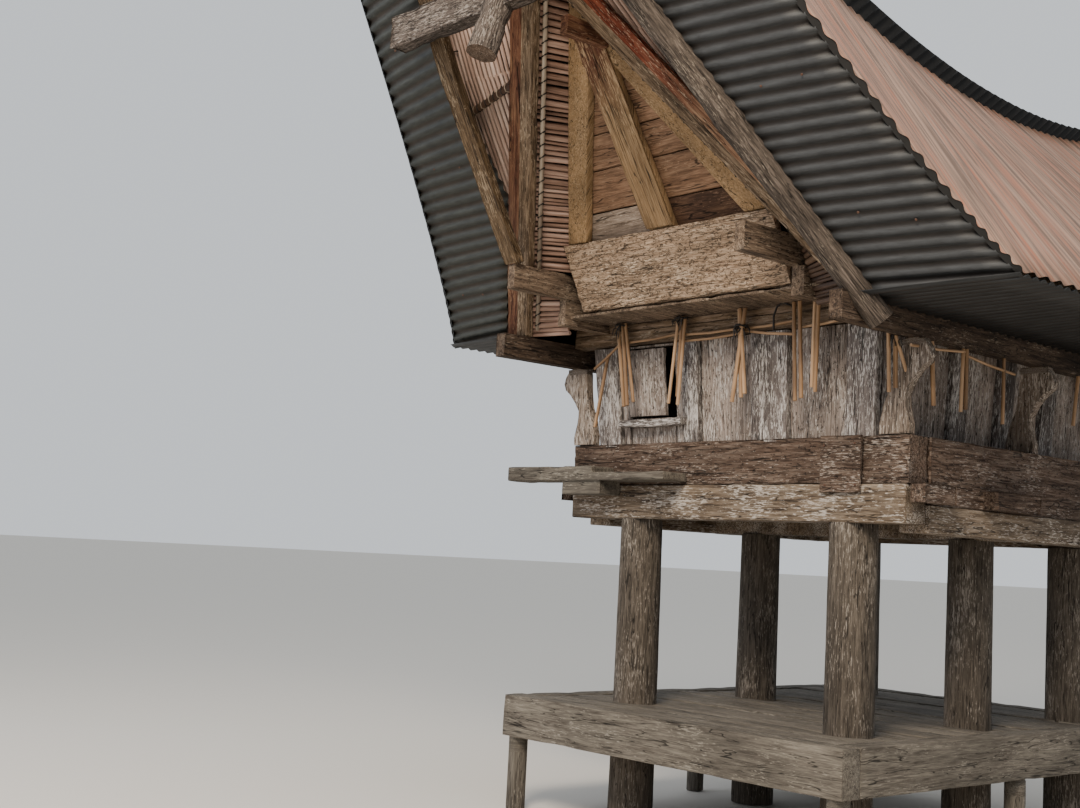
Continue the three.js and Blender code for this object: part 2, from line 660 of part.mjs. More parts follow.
function makeFrontFrame({ slopes, pole }) {
  const section = {
    right: roundSection(LOG.radius, LOG.sides),
    left: flatSection(RAFTER_BOARD.width, RAFTER_BOARD.thick),
  };
  const axes = { right: RIGHT_AXIS, left: LEFT_AXIS };
  const kingLine = timber([KING_POST.foot, KING_POST.head], roundSection(KING_POST.radius, KING_POST.sides));
  const inner = Object.entries(SIDES).map(([name, side]) => (
    add(`inner_rafter_front_${name}`, carve(innerRafter(FRONT, side), kingLine), redWood)
  ));
  const seats = [...made('plate_'), ...made('gable_beams_front'), ...inner, pole];
  const outer = Object.entries(SIDES).map(([name, side]) => {
    const shape = timber(axes[name].map((p) => placed(FRONT, side, p)), section[name]);
    const material = side > 0 ? logWood : redWood;
    return add(`outer_rafter_front_${name}`, carve(halfOf(shape, side), ...seats), material);
  });
  const tie = add('tie_beam', carve(box([-TIE.half, TIE.half], TIE.y, TIE.z), ...outer), logWood);
  const kingPost = add('king_post', carve(kingLine, tie, pole, ...slopes), logWood);

  const frame = [...made('gable_beams_front'), ...made('cross_board_front'), ...made('gable_boards_front'),
    ...made('plate_'), ...outer, ...inner, kingPost, tie, pole];
  for (const [name, side] of Object.entries(SIDES)) {
    const shape = lining(FRONT, side, axes[name], FAN_FROM[name]);
    add(`lining_front_${name}`, carve(shape, ...frame), bamboo);
  }
  add('upper_lining_front', carve(upperLining(FRONT, RIGHT_AXIS), ...frame), bamboo);
  const soffits = {
    right: leaningSoffit(FRONT, SIDES.right, frontBarge, RIGHT_AXIS, LOG.radius),
    left: leaningSoffit(FRONT, SIDES.left, frontBarge, LEFT_SOFFIT_AXIS, RAFTER_BOARD.width / 2),
  };
  for (const [name, shape] of Object.entries(soffits)) {
    add(`soffit_front_${name}`, carve(shape, ...slopes, ...frame), greySheet);
  }
}

function makeRearFrame({ slopes, pole }) {
  const inner = Object.entries(SIDES).map(([name, side]) => (
    add(`inner_rafter_rear_${name}`, carve(innerRafter(REAR, side), pole), redWood)
  ));
  const logs = Object.values(SIDES).map((side) => (
    timber(REAR_AXIS.map((p) => placed(REAR, side, p)), roundSection(LOG.radius, LOG.sides))
  ));
  const outer = add('outer_rafters_rear', carve(join(...logs), ...made('plate_'), ...inner, pole), logWood);
  const frame = [...made('gable_beams_rear'), ...made('cross_board_rear'), ...made('gable_boards_rear'),
    ...made('plate_'), outer, ...inner, pole];
  for (const [name, side] of Object.entries(SIDES)) {
    add(`lining_rear_${name}`, carve(lining(REAR, side, REAR_AXIS, FAN_FROM.rear), ...frame), bamboo);
  }
  add('upper_lining_rear', carve(upperLining(REAR, REAR_AXIS), ...frame), bamboo);
  const soffits = Object.values(SIDES).map((side) => (
    leaningSoffit(REAR, side, rearBarge, REAR_AXIS, LOG.radius)
  ));
  add('soffit_rear', carve(join(...soffits), ...slopes, ...frame), greySheet);
}

function makeShelf() {
  const { plank, board, front, z, boardDrop } = SHELF;
  const { x, setback, drop } = SHELF_BRACKET;
  const back = -BOX.length - GAP;
  const shape = join(
    box(plank, [front, back], z),
    box(board, [front, back], [z[0], z[1] - boardDrop]),
    box(x, [front + setback, back], [z[0] - drop, z[0] + BITE]),
  );
  add('shelf', shape, platformWood);
}

makePosts();
makePlatform();
makeFloorFrame();
makeSills();
makeWalls();
makePlates();
makeGable(FRONT, 'front');
makeGable(REAR, 'rear');
const roof = makeRoof();
makeFrontFrame(roof);
makeRearFrame(roof);
for (const [name, side] of Object.entries(SIDES)) {
  add(`soffit_${name}`, sideSoffit(side), greySheet);
}
makeShelf();

barn.position.y = -(RIDGE.front + RIDGE.rear) / 2;

export default barn;
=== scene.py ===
"""Raised rice barn of the tongkonan kind: worn timbers, bamboo linings and rusted
corrugated sheets, modelled round the barn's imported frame.

Lengths are in metres. Y is measured here from the middle of the store box, as the
barn's carpenters would, and each finished piece is moved to the frame's origin."""

import math
import random

import bmesh
import bpy
from bpy.props import FloatProperty, FloatVectorProperty, PointerProperty
from mathutils import Matrix, Vector, noise


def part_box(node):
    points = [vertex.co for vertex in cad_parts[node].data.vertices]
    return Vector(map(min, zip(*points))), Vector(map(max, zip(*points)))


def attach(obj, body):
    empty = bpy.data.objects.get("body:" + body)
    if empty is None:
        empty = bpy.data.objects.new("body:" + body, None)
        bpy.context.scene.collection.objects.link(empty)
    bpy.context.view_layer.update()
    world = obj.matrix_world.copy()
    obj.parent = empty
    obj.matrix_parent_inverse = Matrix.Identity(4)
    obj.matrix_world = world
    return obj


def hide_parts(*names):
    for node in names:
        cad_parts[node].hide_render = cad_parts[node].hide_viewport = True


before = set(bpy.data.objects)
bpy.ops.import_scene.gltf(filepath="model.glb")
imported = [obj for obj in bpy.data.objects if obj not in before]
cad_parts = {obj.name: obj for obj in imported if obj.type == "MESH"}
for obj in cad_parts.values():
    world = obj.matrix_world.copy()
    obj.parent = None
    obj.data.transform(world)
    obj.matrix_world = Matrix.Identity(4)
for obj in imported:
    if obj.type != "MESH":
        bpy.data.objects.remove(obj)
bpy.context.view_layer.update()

bl_info = {
    "name": "Rice barn",
    "version": (1, 0, 0),
    "blender": (4, 5, 0),
    "location": "View3D > Sidebar > Barn",
    "description": "Weathered rice barn with a saddle roof of corrugated sheet",
    "category": "Add Mesh",
}

FLOOR_LOW, FLOOR_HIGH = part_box("store_floor")
BOX_Y = (FLOOR_LOW.y + FLOOR_HIGH.y) / 2
X, Y, Z = Vector((1, 0, 0)), Vector((0, 1, 0)), Vector((0, 0, 1))
ENDS = {"front": -1, "rear": 1}
SIDES = {"right": 1, "left": -1}

# Leaning planes of the gables: distance out from the box's middle at a height
LEAN = 0.667
RAFTER = {"forward": 2.273, "height": 3.700, "outer": 0.910, "slope": 0.727, "width": 0.203, "top": 4.760}
GABLE = {"forward": 1.880, "height": 3.460, "outer": 0.785, "slope": 0.660}
APEX = (0.0, 4.330, 7.046)
OUTER_AXES = {
    ("front", "right"): [(1.414, 1.721, 2.818), (0.765, 2.880, 4.300), (0.423, 3.640, 5.250), APEX],
    ("front", "left"): [(0.940, 2.165, 3.322), (0.765, 2.880, 4.300), (0.423, 3.640, 5.250), APEX],
    ("rear", "right"): [(1.414, 2.330, 2.818), (0.0, 3.950, 5.226)],
    ("rear", "left"): [(1.414, 2.330, 2.818), (0.0, 3.950, 5.226)],
}

# Roof: the ridge's curve, the eaves and the two barges
RIDGE = {"low_y": 1.860, "low_z": 5.020, "front": -6.020, "rear": 4.630}
RIDGE_RISE = {"front": (0.0684, -0.00157), "rear": (0.064, 0.01624)}
EAVE = {"half": 2.160, "z": 3.000, "front": -1.666, "rear": 2.250}
RIDGE_AT_CORNER = {"front": -0.345, "rear": 2.780}
BARGE = {
    "front": [(2.160, -1.666, 3.000), (1.500, -2.430, 3.900), (0.680, -4.880, 6.990), (0.046, -6.020, 8.480)],
    "rear": [(2.160, 2.250, 3.000), (1.820, 2.665, 3.500), (0.520, 4.022, 5.050), (0.046, 4.630, 5.838)],
}


def linear(code):
    """A colour of the sRGB hex code, as the linear values that Blender works in."""
    parts = [int(code[i:i + 2], 16) / 255 for i in (0, 2, 4)]
    return tuple(c / 12.92 if c <= 0.04045 else ((c + 0.055) / 1.055) ** 2.4 for c in parts)


# Settings that a user would change


def colour_setting(name, code):
    return FloatVectorProperty(
        name=name, description=f"{name} as the eye sees it", subtype="COLOR", size=3, min=0, max=1,
        default=linear(code))


def length_setting(name, description, default):
    return FloatProperty(name=name, description=description, default=default, min=0, unit="LENGTH")


class TimberSettings(bpy.types.PropertyGroup):
    """How far the old timbers are worn."""
    edge: length_setting("Edge", "Width of the worn arris of a beam", 0.007)
    wear: length_setting("Wear", "Depth that weather has taken from the faces", 0.004)
    chips: length_setting("Chips", "Depth of the bites in the edges", 0.014)


class SheetSettings(bpy.types.PropertyGroup):
    """Corrugated sheets of the roof."""
    pitch: length_setting("Pitch", "Distance from wave to wave", 0.072)
    wave: length_setting("Wave", "Depth of a wave from crest to valley", 0.018)
    top_colour: colour_setting("Top colour", "836c5e")
    rust_colour: colour_setting("Rust colour", "935f48")


class BambooSettings(bpy.types.PropertyGroup):
    """Rods of the gable linings and the bamboo sticks."""
    rod: length_setting("Rod", "Diameter of a lining rod", 0.028)
    spacing: length_setting("Spacing", "Distance between lining rods", 0.034)
    stick: length_setting("Stick", "Diameter of a hanging bamboo stick", 0.026)


class StageSettings(bpy.types.PropertyGroup):
    """Studio round the barn."""
    floor_colour: colour_setting("Floor colour", "cfcac2")
    lens: FloatProperty(
        name="Lens", description="Focal length of the camera in millimetres", default=47.52, unit="CAMERA")
    key_power: FloatProperty(
        name="Key power", description="Power of the main light", default=2300, unit="POWER")


# Materials

# Sockets of the node that mixes two colours, and its settings for a mix and a product
FACTOR, FIRST, SECOND = 0, 6, 7
MIX = {"output": 2, "data_type": "RGBA"}
PRODUCT = {**MIX, "blend_type": "MULTIPLY"}
MULTIPLY, MULTIPLY_ADD = {"operation": "MULTIPLY"}, {"operation": "MULTIPLY_ADD"}


def feed(tree, node, sockets):
    """Gives sockets, by name or in order, their values or the outputs that feed them."""
    for key, value in sockets.items() if isinstance(sockets, dict) else enumerate(sockets):
        if isinstance(value, bpy.types.NodeSocket):
            tree.links.new(value, node.inputs[key])
        else:
            node.inputs[key].default_value = value


def add_node(tree, kind, sockets=(), output=0, stops=(), **settings):
    """Adds one shader node with its settings and links, and gives one of its outputs."""
    new = tree.nodes.new(f"ShaderNode{kind}")
    for key, value in settings.items():
        setattr(new, key, value)
    feed(tree, new, sockets)
    for i, (place, colour) in enumerate(stops):
        elements = new.color_ramp.elements
        element = elements[i] if i < 2 else elements.new(place)
        element.position = place
        element.color = (*colour, 1)
    return new.outputs[output]


def long_noise(tree, way, scale, detail, rough=0.6, shift=0.0, bend=0.0):
    """Noise drawn out over a piece's own measures. Its scale is in features a metre: along
    and across the grain of a timber, or across, down and out of a sheet."""
    place = add_node(tree, "Mapping", {
        "Vector": way, "Location": (shift, shift, shift), "Scale": (scale[0], scale[1], scale[-1])})
    return add_node(tree, "TexNoise", {
        "Vector": place, "Scale": 1.0, "Detail": detail, "Roughness": rough, "Distortion": bend})


def thin_lines(tree, value, width, dark):
    """Dark lines where a noise passes its middle."""
    away = add_node(tree, "Math", (value, 0.5), operation="SUBTRACT")
    away = add_node(tree, "Math", (away,), operation="ABSOLUTE")
    return add_node(tree, "MapRange", (away, width * 0.3, width, dark, 1.0))


# Old hardwoods of the barn: dark, middle and light grain, the pale flecks of lichen and
# bleached fibre with their share of a face, the grain's width, the relief's depth and the
# share of worm marks. Two boards also have the tint of a red stain on their upper part,
# and the heights between which it has worn off.
TIMBERS = {
    "grey_post_hardwood": ("332d27", "4a433b", "5f574e", "857d74", 0.28, 0.012, 0.003, 0.0),
    "grey_platform_hardwood": ("48423b", "5e5850", "6f695f", "847e74", 0.24, 0.018, 0.002, 0.0),
    "brown_floor_beam": ("3a3029", "665849", "827567", "a9a198", 0.42, 0.022, 0.003, 0.0),
    "eroded_sill_hardwood": ("2c211a", "5a493e", "796a5e", "a4998f", 0.26, 0.016, 0.012, 0.30),
    "bleached_wall_stile": ("3b3432", "605854", "78706b", "b9b4af", 0.50, 0.012, 0.004, 0.0),
    "rough_wall_panel": ("594e46", "887b72", "a1968d", "bfb8b1", 0.40, 0.014, 0.008, 0.30),
    # The plate's wood is its own dark hardwood, darkened further as painted shade
    "dark_and_painted_shade_plate_hardwood": ("211914", "3e3229", "57493d", "7c7064", 0.20, 0.024, 0.004, 0.20),
    # The brackets' wood is a paler copy of the plate's, lightened as painted light
    "painted_light_bracket_hardwood": ("453b33", "73665b", "92867a", "b4aaa0", 0.40, 0.014, 0.004, 0.20),
    "grey_beam_hardwood": ("3a2f27", "665648", "806f5e", "9a8b79", 0.22, 0.024, 0.003, 0.45),
    "wormed_cross_board": ("66513f", "9c846d", "b79f87", "cbb69e", 0.35, 0.012, 0.006, 1.0),
    "red_gable_board": ("57402f", "765a45", "886c55", "998067", 0.14, 0.018, 0.001, 0.0),
    "grey_gable_board": ("57493c", "827264", "978778", "a99b8c", 0.22, 0.018, 0.002, 0.0),
    "dark_gable_board": ("2f221b", "4a3528", "5b4433", "735a48", 0.16, 0.018, 0.002, 0.0),
    "ochre_gable_board": ("78603f", "8a6f50", "998061", "a88f70", 0.30, 0.010, 0.001, 0.0),
    "red_topped_gable_plank": ("6b5439", "8a6f50", "998061", "a88f70", 0.30, 0.012, 0.002, 0.0,
                               ("ae8f94", 4.02, 4.34)),
    "red_rafter_board": ("311e17", "5d3c2c", "7a5a42", "8f7058", 0.22, 0.022, 0.005, 0.0),
    "red_topped_rafter_board": ("4b3426", "82614a", "a08367", "b8a188", 0.30, 0.018, 0.005, 0.0,
                                ("d5938a", 3.80, 4.20)),
    "ochre_rafter_board": ("32271d", "665442", "8a7660", "a5927b", 0.40, 0.014, 0.008, 0.0),
    "brown_rafter_board": ("2c2119", "54432f", "725f4a", "93826c", 0.28, 0.016, 0.005, 0.0),
    # The rafter log's wood is darkened as painted shade
    "painted_shade_rafter_log": ("25201c", "463e37", "625850", "82786c", 0.30, 0.014, 0.006, 0.0),
    "rough_tie_wood": ("2b2623", "554c46", "766c64", "978e86", 0.38, 0.010, 0.010, 0.50),
    "sawn_end_wood": ("362920", "57473b", "6f5f52", "85776a", 0.24, 0.020, 0.002, 0.0),
    "lintel_board": ("3a2d23", "685643", "837060", "978a78", 0.20, 0.026, 0.003, 0.0),
}
# How far up and down the worn edge of a stain wanders, in metres of height
STAIN_WANDER = 0.8


def timber_wood(tree, dark, middle, light, fleck, share, width, relief, worms, stain=None):
    """Old hand-sawn hardwood: open grain along the timber, dark checks and worm marks, and
    pale flecks of lichen and bleached fibre. Its dry, dull face shows no gloss."""
    grain = add_node(tree, "Attribute", output="Vector", attribute_name="grain")
    fibre = long_noise(tree, grain, (1 / (12 * width), 1 / width), 9.0, 0.74, bend=0.3)
    colour = add_node(tree, "ValToRGB", (fibre,), stops=[
        (0.36, linear(dark)), (0.62, linear(light)), (0.49, linear(middle))])
    # Threads of a few millimetres, and broad drifts where rain and shade fell differently
    thread = long_noise(tree, grain, (11, 260), 3.0, shift=1)
    thread = add_node(tree, "MapRange", (thread, 0.34, 0.66, 0.72, 1.24))
    drift = long_noise(tree, grain, (1.2, 4.5), 4.0, shift=5)
    drift = add_node(tree, "MapRange", (drift, 0.34, 0.66, 0.66, 1.18))
    for shade in (thread, drift):
        colour = add_node(tree, "Mix", {FACTOR: 1.0, FIRST: colour, SECOND: shade}, **PRODUCT)
    if stain:
        tint, low, high = stain
        place = add_node(tree, "TexCoord", output="Object")
        level = add_node(tree, "SeparateXYZ", (place,), "Z")
        worn = long_noise(tree, grain, (1.8, 13), 5.0, 0.7, shift=6)
        level = add_node(tree, "Math", (worn, STAIN_WANDER, level), **MULTIPLY_ADD)
        there = add_node(tree, "MapRange", (level, low + STAIN_WANDER / 2, high + STAIN_WANDER / 2))
        red = add_node(tree, "Mix", {FACTOR: 1.0, FIRST: colour, SECOND: (*linear(tint), 1)}, **PRODUCT)
        colour = add_node(tree, "Mix", {FACTOR: there, FIRST: colour, SECOND: red}, **MIX)
    # Pale flecks, each some centimetres long
    flecks = long_noise(tree, grain, (24, 140), 5.0, 0.66, shift=3)
    area = long_noise(tree, grain, (2.6, 7.0), 2.0, shift=7)
    spots = add_node(tree, "Math", (area, 0.45, flecks), **MULTIPLY_ADD)
    edge = 0.905 - 0.30 * share
    spots = add_node(tree, "MapRange", (spots, edge - 0.015, edge + 0.055, 0.0, 0.85))
    colour = add_node(tree, "Mix", {FACTOR: spots, FIRST: colour, SECOND: (*linear(fleck), 1)}, **MIX)
    # Checks: long thin cracks along the grain
    dark_marks = thin_lines(tree, long_noise(tree, grain, (1.1, 17), 3.0, bend=0.4, shift=2), 0.011, 0.22)
    if worms:
        bore = thin_lines(tree, long_noise(tree, grain, (20, 46), 1.0, bend=1.4, shift=9), 0.085, 0.30)
        mask = long_noise(tree, grain, (30, 60), 2.0, shift=4)
        mask = add_node(tree, "MapRange", (mask, 0.62 - 0.14 * worms, 0.65 - 0.14 * worms))
        bore = add_node(tree, "Mix", {0: mask, 2: 1.0, 3: bore}, data_type="FLOAT")
        dark_marks = add_node(tree, "Math", (bore, dark_marks), **MULTIPLY)
    colour = add_node(tree, "Mix", {FACTOR: 1.0, FIRST: colour, SECOND: dark_marks}, **PRODUCT)
    height = add_node(tree, "Math", (fibre, dark_marks, flecks), **MULTIPLY_ADD)
    bump = add_node(tree, "Bump", {"Height": height, "Strength": 1.0, "Distance": relief})
    return {"Base Color": colour, "Roughness": 0.88, "Specular IOR Level": 0.2, "Normal": bump}


# Split and whole bamboo, cane and fibre: dark, middle and light
CANES = {
    "aged_lining_rod": ("4a362b", "8a6d5d", "b69a8b"),
    "pinkish_fan_rod": ("6b5348", "ad9284", "ceb7aa"),
    "hanging_bamboo_stick": ("4f3b2b", "836649", "a6886a"),
    "woven_brown_band": ("1e1611", "43332a", "65503f"),
    "pale_wrapped_lath": ("5c5046", "8f8171", "aa9d8c"),
    "black_palm_fibre": ("0d0b0a", "1d1916", "2e2823"),
}


def cane(tree, dark, middle, light):
    """Dry bamboo or palm fibre: a smooth skin that fades from orange to pink-grey, with
    fine lines along it and a slight sheen where the skin is whole."""
    grain = add_node(tree, "Attribute", output="Vector", attribute_name="grain")
    lines = long_noise(tree, grain, (3, 150), 4.0)
    tone = long_noise(tree, grain, (1.4, 9), 5.0)
    mixed = add_node(tree, "Math", (lines, 0.35, tone), **MULTIPLY_ADD)
    colour = add_node(tree, "ValToRGB", (mixed,), stops=[
        (0.48, linear(dark)), (0.84, linear(light)), (0.66, linear(middle))])
    bump = add_node(tree, "Bump", {"Height": lines, "Strength": 0.5, "Distance": 0.0012})
    return {"Base Color": colour, "Roughness": 0.58, "Specular IOR Level": 0.3, "Normal": bump}


def rusted_sheet(tree):
    """Galvanised steel sheet, roll-formed and long in the sun: the zinc has gone matt and
    taupe, and rust runs down the fall in pink and orange streaks from the laps and nails."""
    sheets = bpy.context.scene.barn_sheets
    run = add_node(tree, "Attribute", output="Vector", attribute_name="run")
    fine = long_noise(tree, run, (46, 0.8, 1), 5.0, 0.7)
    broad = long_noise(tree, run, (7.5, 0.25, 1), 5.0, 0.66)
    dark, light, top = (tuple(c * share for c in sheets.top_colour) for share in (0.52, 1.36, 1))
    colour = add_node(tree, "ValToRGB", (fine,), stops=[(0.40, dark), (0.60, light), (0.50, top)])
    areas = add_node(tree, "MapRange", (broad, 0.46, 0.60))
    streaks = add_node(tree, "MapRange", (fine, 0.40, 0.60))
    rust = add_node(tree, "Math", (areas, streaks), **MULTIPLY)
    colour = add_node(tree, "Mix", {FACTOR: rust, FIRST: colour, SECOND: (*sheets.rust_colour, 1)}, **MIX)
    pits = add_node(tree, "TexNoise", {"Vector": run, "Scale": 60.0, "Detail": 4.0})
    bump = add_node(tree, "Bump", {"Height": pits, "Strength": 0.35, "Distance": 0.0015})
    return {"Base Color": colour, "Metallic": 0.15, "Roughness": 0.62, "Normal": bump}


# Undersides of galvanised sheet: the crests, whose paler bluish tint is a painted highlight, and the valleys,
# browner and darker with dust and painted shade. The last row, near black all over, is painted shade
UNDERSIDES = {
    "slate_grey_galvanised_sheet": ("2f3133", "231d19"),
    "green_grey_galvanised_sheet": ("31332f", "2e2419"),
    # Near-black underside of the roof sheets and the flashing: painted shade, much darker than the zinc's own
    # grey
    "painted_shade_underside_sheet": ("121110", "0c0a09"),
}


def slate_sheet(tree, crest, valley):
    """Underside of galvanised sheet, kept from the rain: dark slate zinc with a faint spangle, valleys darker
    and browner with dust and painted shade, and a soft sheen along the crests, whose paler bluish colour is a
    painted highlight."""
    run = add_node(tree, "Attribute", output="Vector", attribute_name="run")
    depth = add_node(tree, "SeparateXYZ", (run,), "Z")
    # Towards the valleys the colour turns darker and browner, dust with painted shade; the paler bluish crest
    # colour is a painted highlight
    dust_and_shade_share = add_node(tree, "MapRange", (depth, -0.1, 0.95, 0.0, 0.9))
    zinc, valley_dust_and_shade = (*linear(crest), 1), (*linear(valley), 1)
    colour = add_node(tree, "Mix", {FACTOR: dust_and_shade_share, FIRST: zinc, SECOND: valley_dust_and_shade}, **MIX)
    stain = long_noise(tree, run, (14, 5, 1), 7.0, 0.7)
    stain = add_node(tree, "MapRange", (stain, 0.34, 0.66, 0.62, 1.35))
    colour = add_node(tree, "Mix", {FACTOR: 1.0, FIRST: colour, SECOND: stain}, **PRODUCT)
    spangle = add_node(tree, "TexNoise", {"Vector": run, "Scale": 45.0, "Detail": 5.0})
    bump = add_node(tree, "Bump", {"Height": spangle, "Strength": 0.3, "Distance": 0.001})
    return {"Base Color": colour, "Metallic": 0.30, "Roughness": 0.60, "Normal": bump}


def rusted_iron(tree, dark, light):
    """Wrought nail iron gone brown with rust: dull, with a scaly skin."""
    place = add_node(tree, "TexCoord", output="Object")
    scale = add_node(tree, "TexNoise", {"Vector": place, "Scale": 220.0, "Detail": 4.0})
    colour = add_node(tree, "ValToRGB", (scale,), stops=[(0.35, linear(dark)), (0.65, linear(light))])
    return {"Base Color": colour, "Roughness": 0.75}


def matt_floor(tree):
    """Matt painted floor of the studio."""
    return {"Base Color": (*bpy.context.scene.barn_stage.floor_colour, 1), "Roughness": 0.9}


# Each rule for a shader's inputs, with the names of its materials and their rows
RULES = (
    (timber_wood, TIMBERS),
    (cane, CANES),
    (rusted_sheet, {"rusted_galvanised_sheet": ()}),
    (slate_sheet, UNDERSIDES),
    (rusted_iron, {"rusted_nail_iron": ("2a1a12", "5b3a27")}),
    (matt_floor, {"matt_studio_floor": ()}),
)


def material(name):
    """Finds a material by its name, or makes it with its rule and row."""
    found = bpy.data.materials.get(name)
    if found is None:
        rule, rows = next(pair for pair in RULES if name in pair[1])
        found = bpy.data.materials.new(name)
        found.use_nodes = True
        tree = found.node_tree
        feed(tree, tree.nodes["Principled BSDF"], rule(tree, *rows[name]))
    return found


# Meshes


def new_mesh():
    bm = bmesh.new()
    bm.verts.layers.float_vector.new("grain")
    return bm


def slice_up(bm, step):
    """Cuts a piece across its three axes, so that wear can bend its faces."""
    for axis, spacing in enumerate(step):
        places = [v.co[axis] for v in bm.verts]
        low, high = min(places), max(places)
        count = int((high - low) / spacing)
        normal = (X, Y, Z)[axis]
        for i in range(count):
            place = low + (high - low) * (i + 1) / (count + 1)
            geometry = bm.verts[:] + bm.edges[:] + bm.faces[:]
            bmesh.ops.bisect_plane(bm, geom=geometry, dist=1e-5, plane_co=normal * place, plane_no=normal)


def bevel_sharp(bm, width):
    sharp = [e for e in bm.edges if len(e.link_faces) == 2 and e.calc_face_angle(0) > 0.5]
    bmesh.ops.bevel(bm, geom=sharp, offset=width, offset_type="OFFSET", segments=2, profile=0.5,
                    affect="EDGES", clamp_overlap=True, material=-1)


def weather(bm, grain, wear, chips, seed=0, rough=1.0, level=1.0, mark=True):
    """Wears the faces in along the grain and bites into the arrises. Nothing moves out.
    grain gives a point's place along, across and through its timber, level the share of
    the wear on faces that lie level, and mark whether the material gets this grain."""
    layer = bm.verts.layers.float_vector["grain"]
    offset = Vector((seed * 1.73, seed * 0.61, seed * 2.19))
    bm.normal_update()
    moves = []
    for vert in bm.verts:
        place = grain(vert.co) + offset
        if mark:
            vert[layer] = place
        ridges = noise.noise(Vector((place.x * 3.1, place.y * 31, place.z * 31)) * rough)
        hollows = noise.noise(Vector((place.x * 1.3, place.y * 6, place.z * 6)))
        depth = wear * (0.5 + 0.28 * ridges + 0.22 * hollows)
        arris = max((e.calc_face_angle(0) for e in vert.link_edges), default=0)
        if arris > 0.3:
            bite = noise.noise(Vector((place.x * 7, place.y * 9, place.z * 9)) * rough + offset)
            depth += chips * max(0.0, bite) ** 1.5
        moves.append(vert.normal * -depth)
    for vert, move in zip(bm.verts, moves):
        vert.co += Vector((move.x, move.y, move.z * level))


def along(direction):
    """Grain that runs in one direction: a rule giving a point's place in the timber."""
    first = Vector(direction).normalized()
    side = X if abs(first.x) < 0.9 else Y
    second = (side - first * side.dot(first)).normalized()
    third = first.cross(second)
    return lambda p: Vector((p.dot(first), p.dot(second), p.dot(third)))


def copy_of(node):
    """A node of the frame as a mesh, with merged corners and whole flat faces, moved so
    that Y is measured from the middle of the store box."""
    bm = new_mesh()
    bm.from_mesh(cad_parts[node].data)
    bmesh.ops.translate(bm, vec=-Y * BOX_Y, verts=bm.verts)
    bmesh.ops.remove_doubles(bm, verts=bm.verts, dist=0.0008)
    bmesh.ops.dissolve_limit(bm, angle_limit=math.radians(1.5), verts=bm.verts, edges=bm.edges)
    return bm


def join(bm, part):
    """Adds a part to a mesh."""
    mesh = bpy.data.meshes.new("part")
    part.to_mesh(mesh)
    part.free()
    bm.from_mesh(mesh)
    bpy.data.meshes.remove(mesh)


def append(bm, part):
    """Adds a part and its grain to a mesh."""
    source = part.verts.layers.float_vector["grain"]
    places = [v[source].copy() for v in part.verts]
    first = len(bm.verts)
    join(bm, part)
    bm.verts.ensure_lookup_table()
    layer = bm.verts.layers.float_vector["grain"]
    for i, place in enumerate(places):
        bm.verts[first + i][layer] = place


def board(bm, low, high, grain, place=None, seed=0, edge=0.005, wear=0.004, chips=0.010, step=0.09):
    """Adds one worn board between two corners. place moves its points afterwards, as for
    a leaning board."""
    part = new_mesh()
    bmesh.ops.create_cube(part, size=1)
    low, high = Vector(low), Vector(high)
    bmesh.ops.scale(part, vec=high - low, verts=part.verts)
    bmesh.ops.translate(part, vec=(low + high) / 2, verts=part.verts)
    bevel_sharp(part, min(edge, min(high - low) / 4))
    slice_up(part, (step, step, step))
    weather(part, along(grain), wear, chips, seed)
    if place:
        for vert in part.verts:
            vert.co = place(vert.co)
    append(bm, part)


def path_frames(points):
    """A matrix at each point of a run, with Z along the run."""
    points = [Vector(p) for p in points]
    frames = []
    for i, point in enumerate(points):
        way = (points[min(i + 1, len(points) - 1)] - points[max(i - 1, 0)]).normalized()
        side = (X - way * way.x).normalized() if abs(way.x) < 0.9 else (Y - way * way.y).normalized()
        turn = Matrix((side, way.cross(side), way)).transposed().to_4x4()
        frames.append(Matrix.Translation(point) @ turn)
    return frames


def rod(bm, points, radii, sides=7, seed=0, flat=1.0):
    """Adds a closed round rod, stick or log along a run of points."""
    layer = bm.verts.layers.float_vector["grain"]
    offset = Vector((seed * 0.77, seed * 0.31, seed * 0.53))
    frames = path_frames(points)
    ring = bmesh.ops.create_circle(bm, cap_ends=True, segments=sides, radius=1)["verts"]
    face = ring[0].link_faces[0]
    last = Matrix.Identity(4)
    done = 0.0
    for i, place in enumerate(frames):
        if i:
            grown = bmesh.ops.extrude_face_region(bm, geom=[face])["geom"]
            face = next(g for g in grown if isinstance(g, bmesh.types.BMFace))
            ring = list(face.verts)
            done += (place.translation - frames[i - 1].translation).length
        target = place @ Matrix.Diagonal((radii[i], radii[i] * flat, 1, 1))
        bmesh.ops.transform(bm, matrix=target @ last.inverted(), verts=ring)
        last = target
        back = place.inverted()
        for vert in ring:
            local = back @ vert.co
            vert[layer] = Vector((done, local.x, local.y)) + offset


def paint(bm, first, index):
    """Gives the faces added since the given one another material."""
    bm.faces.ensure_lookup_table()
    for face in bm.faces[first:]:
        face.material_index = index


def face_towards(bm, way):
    """Turns the faces of a sheet so that they look along a direction on the whole."""
    bmesh.ops.recalc_face_normals(bm, faces=bm.faces)
    if sum(f.normal.dot(way) for f in bm.faces) < 0:
        bmesh.ops.reverse_faces(bm, faces=bm.faces)


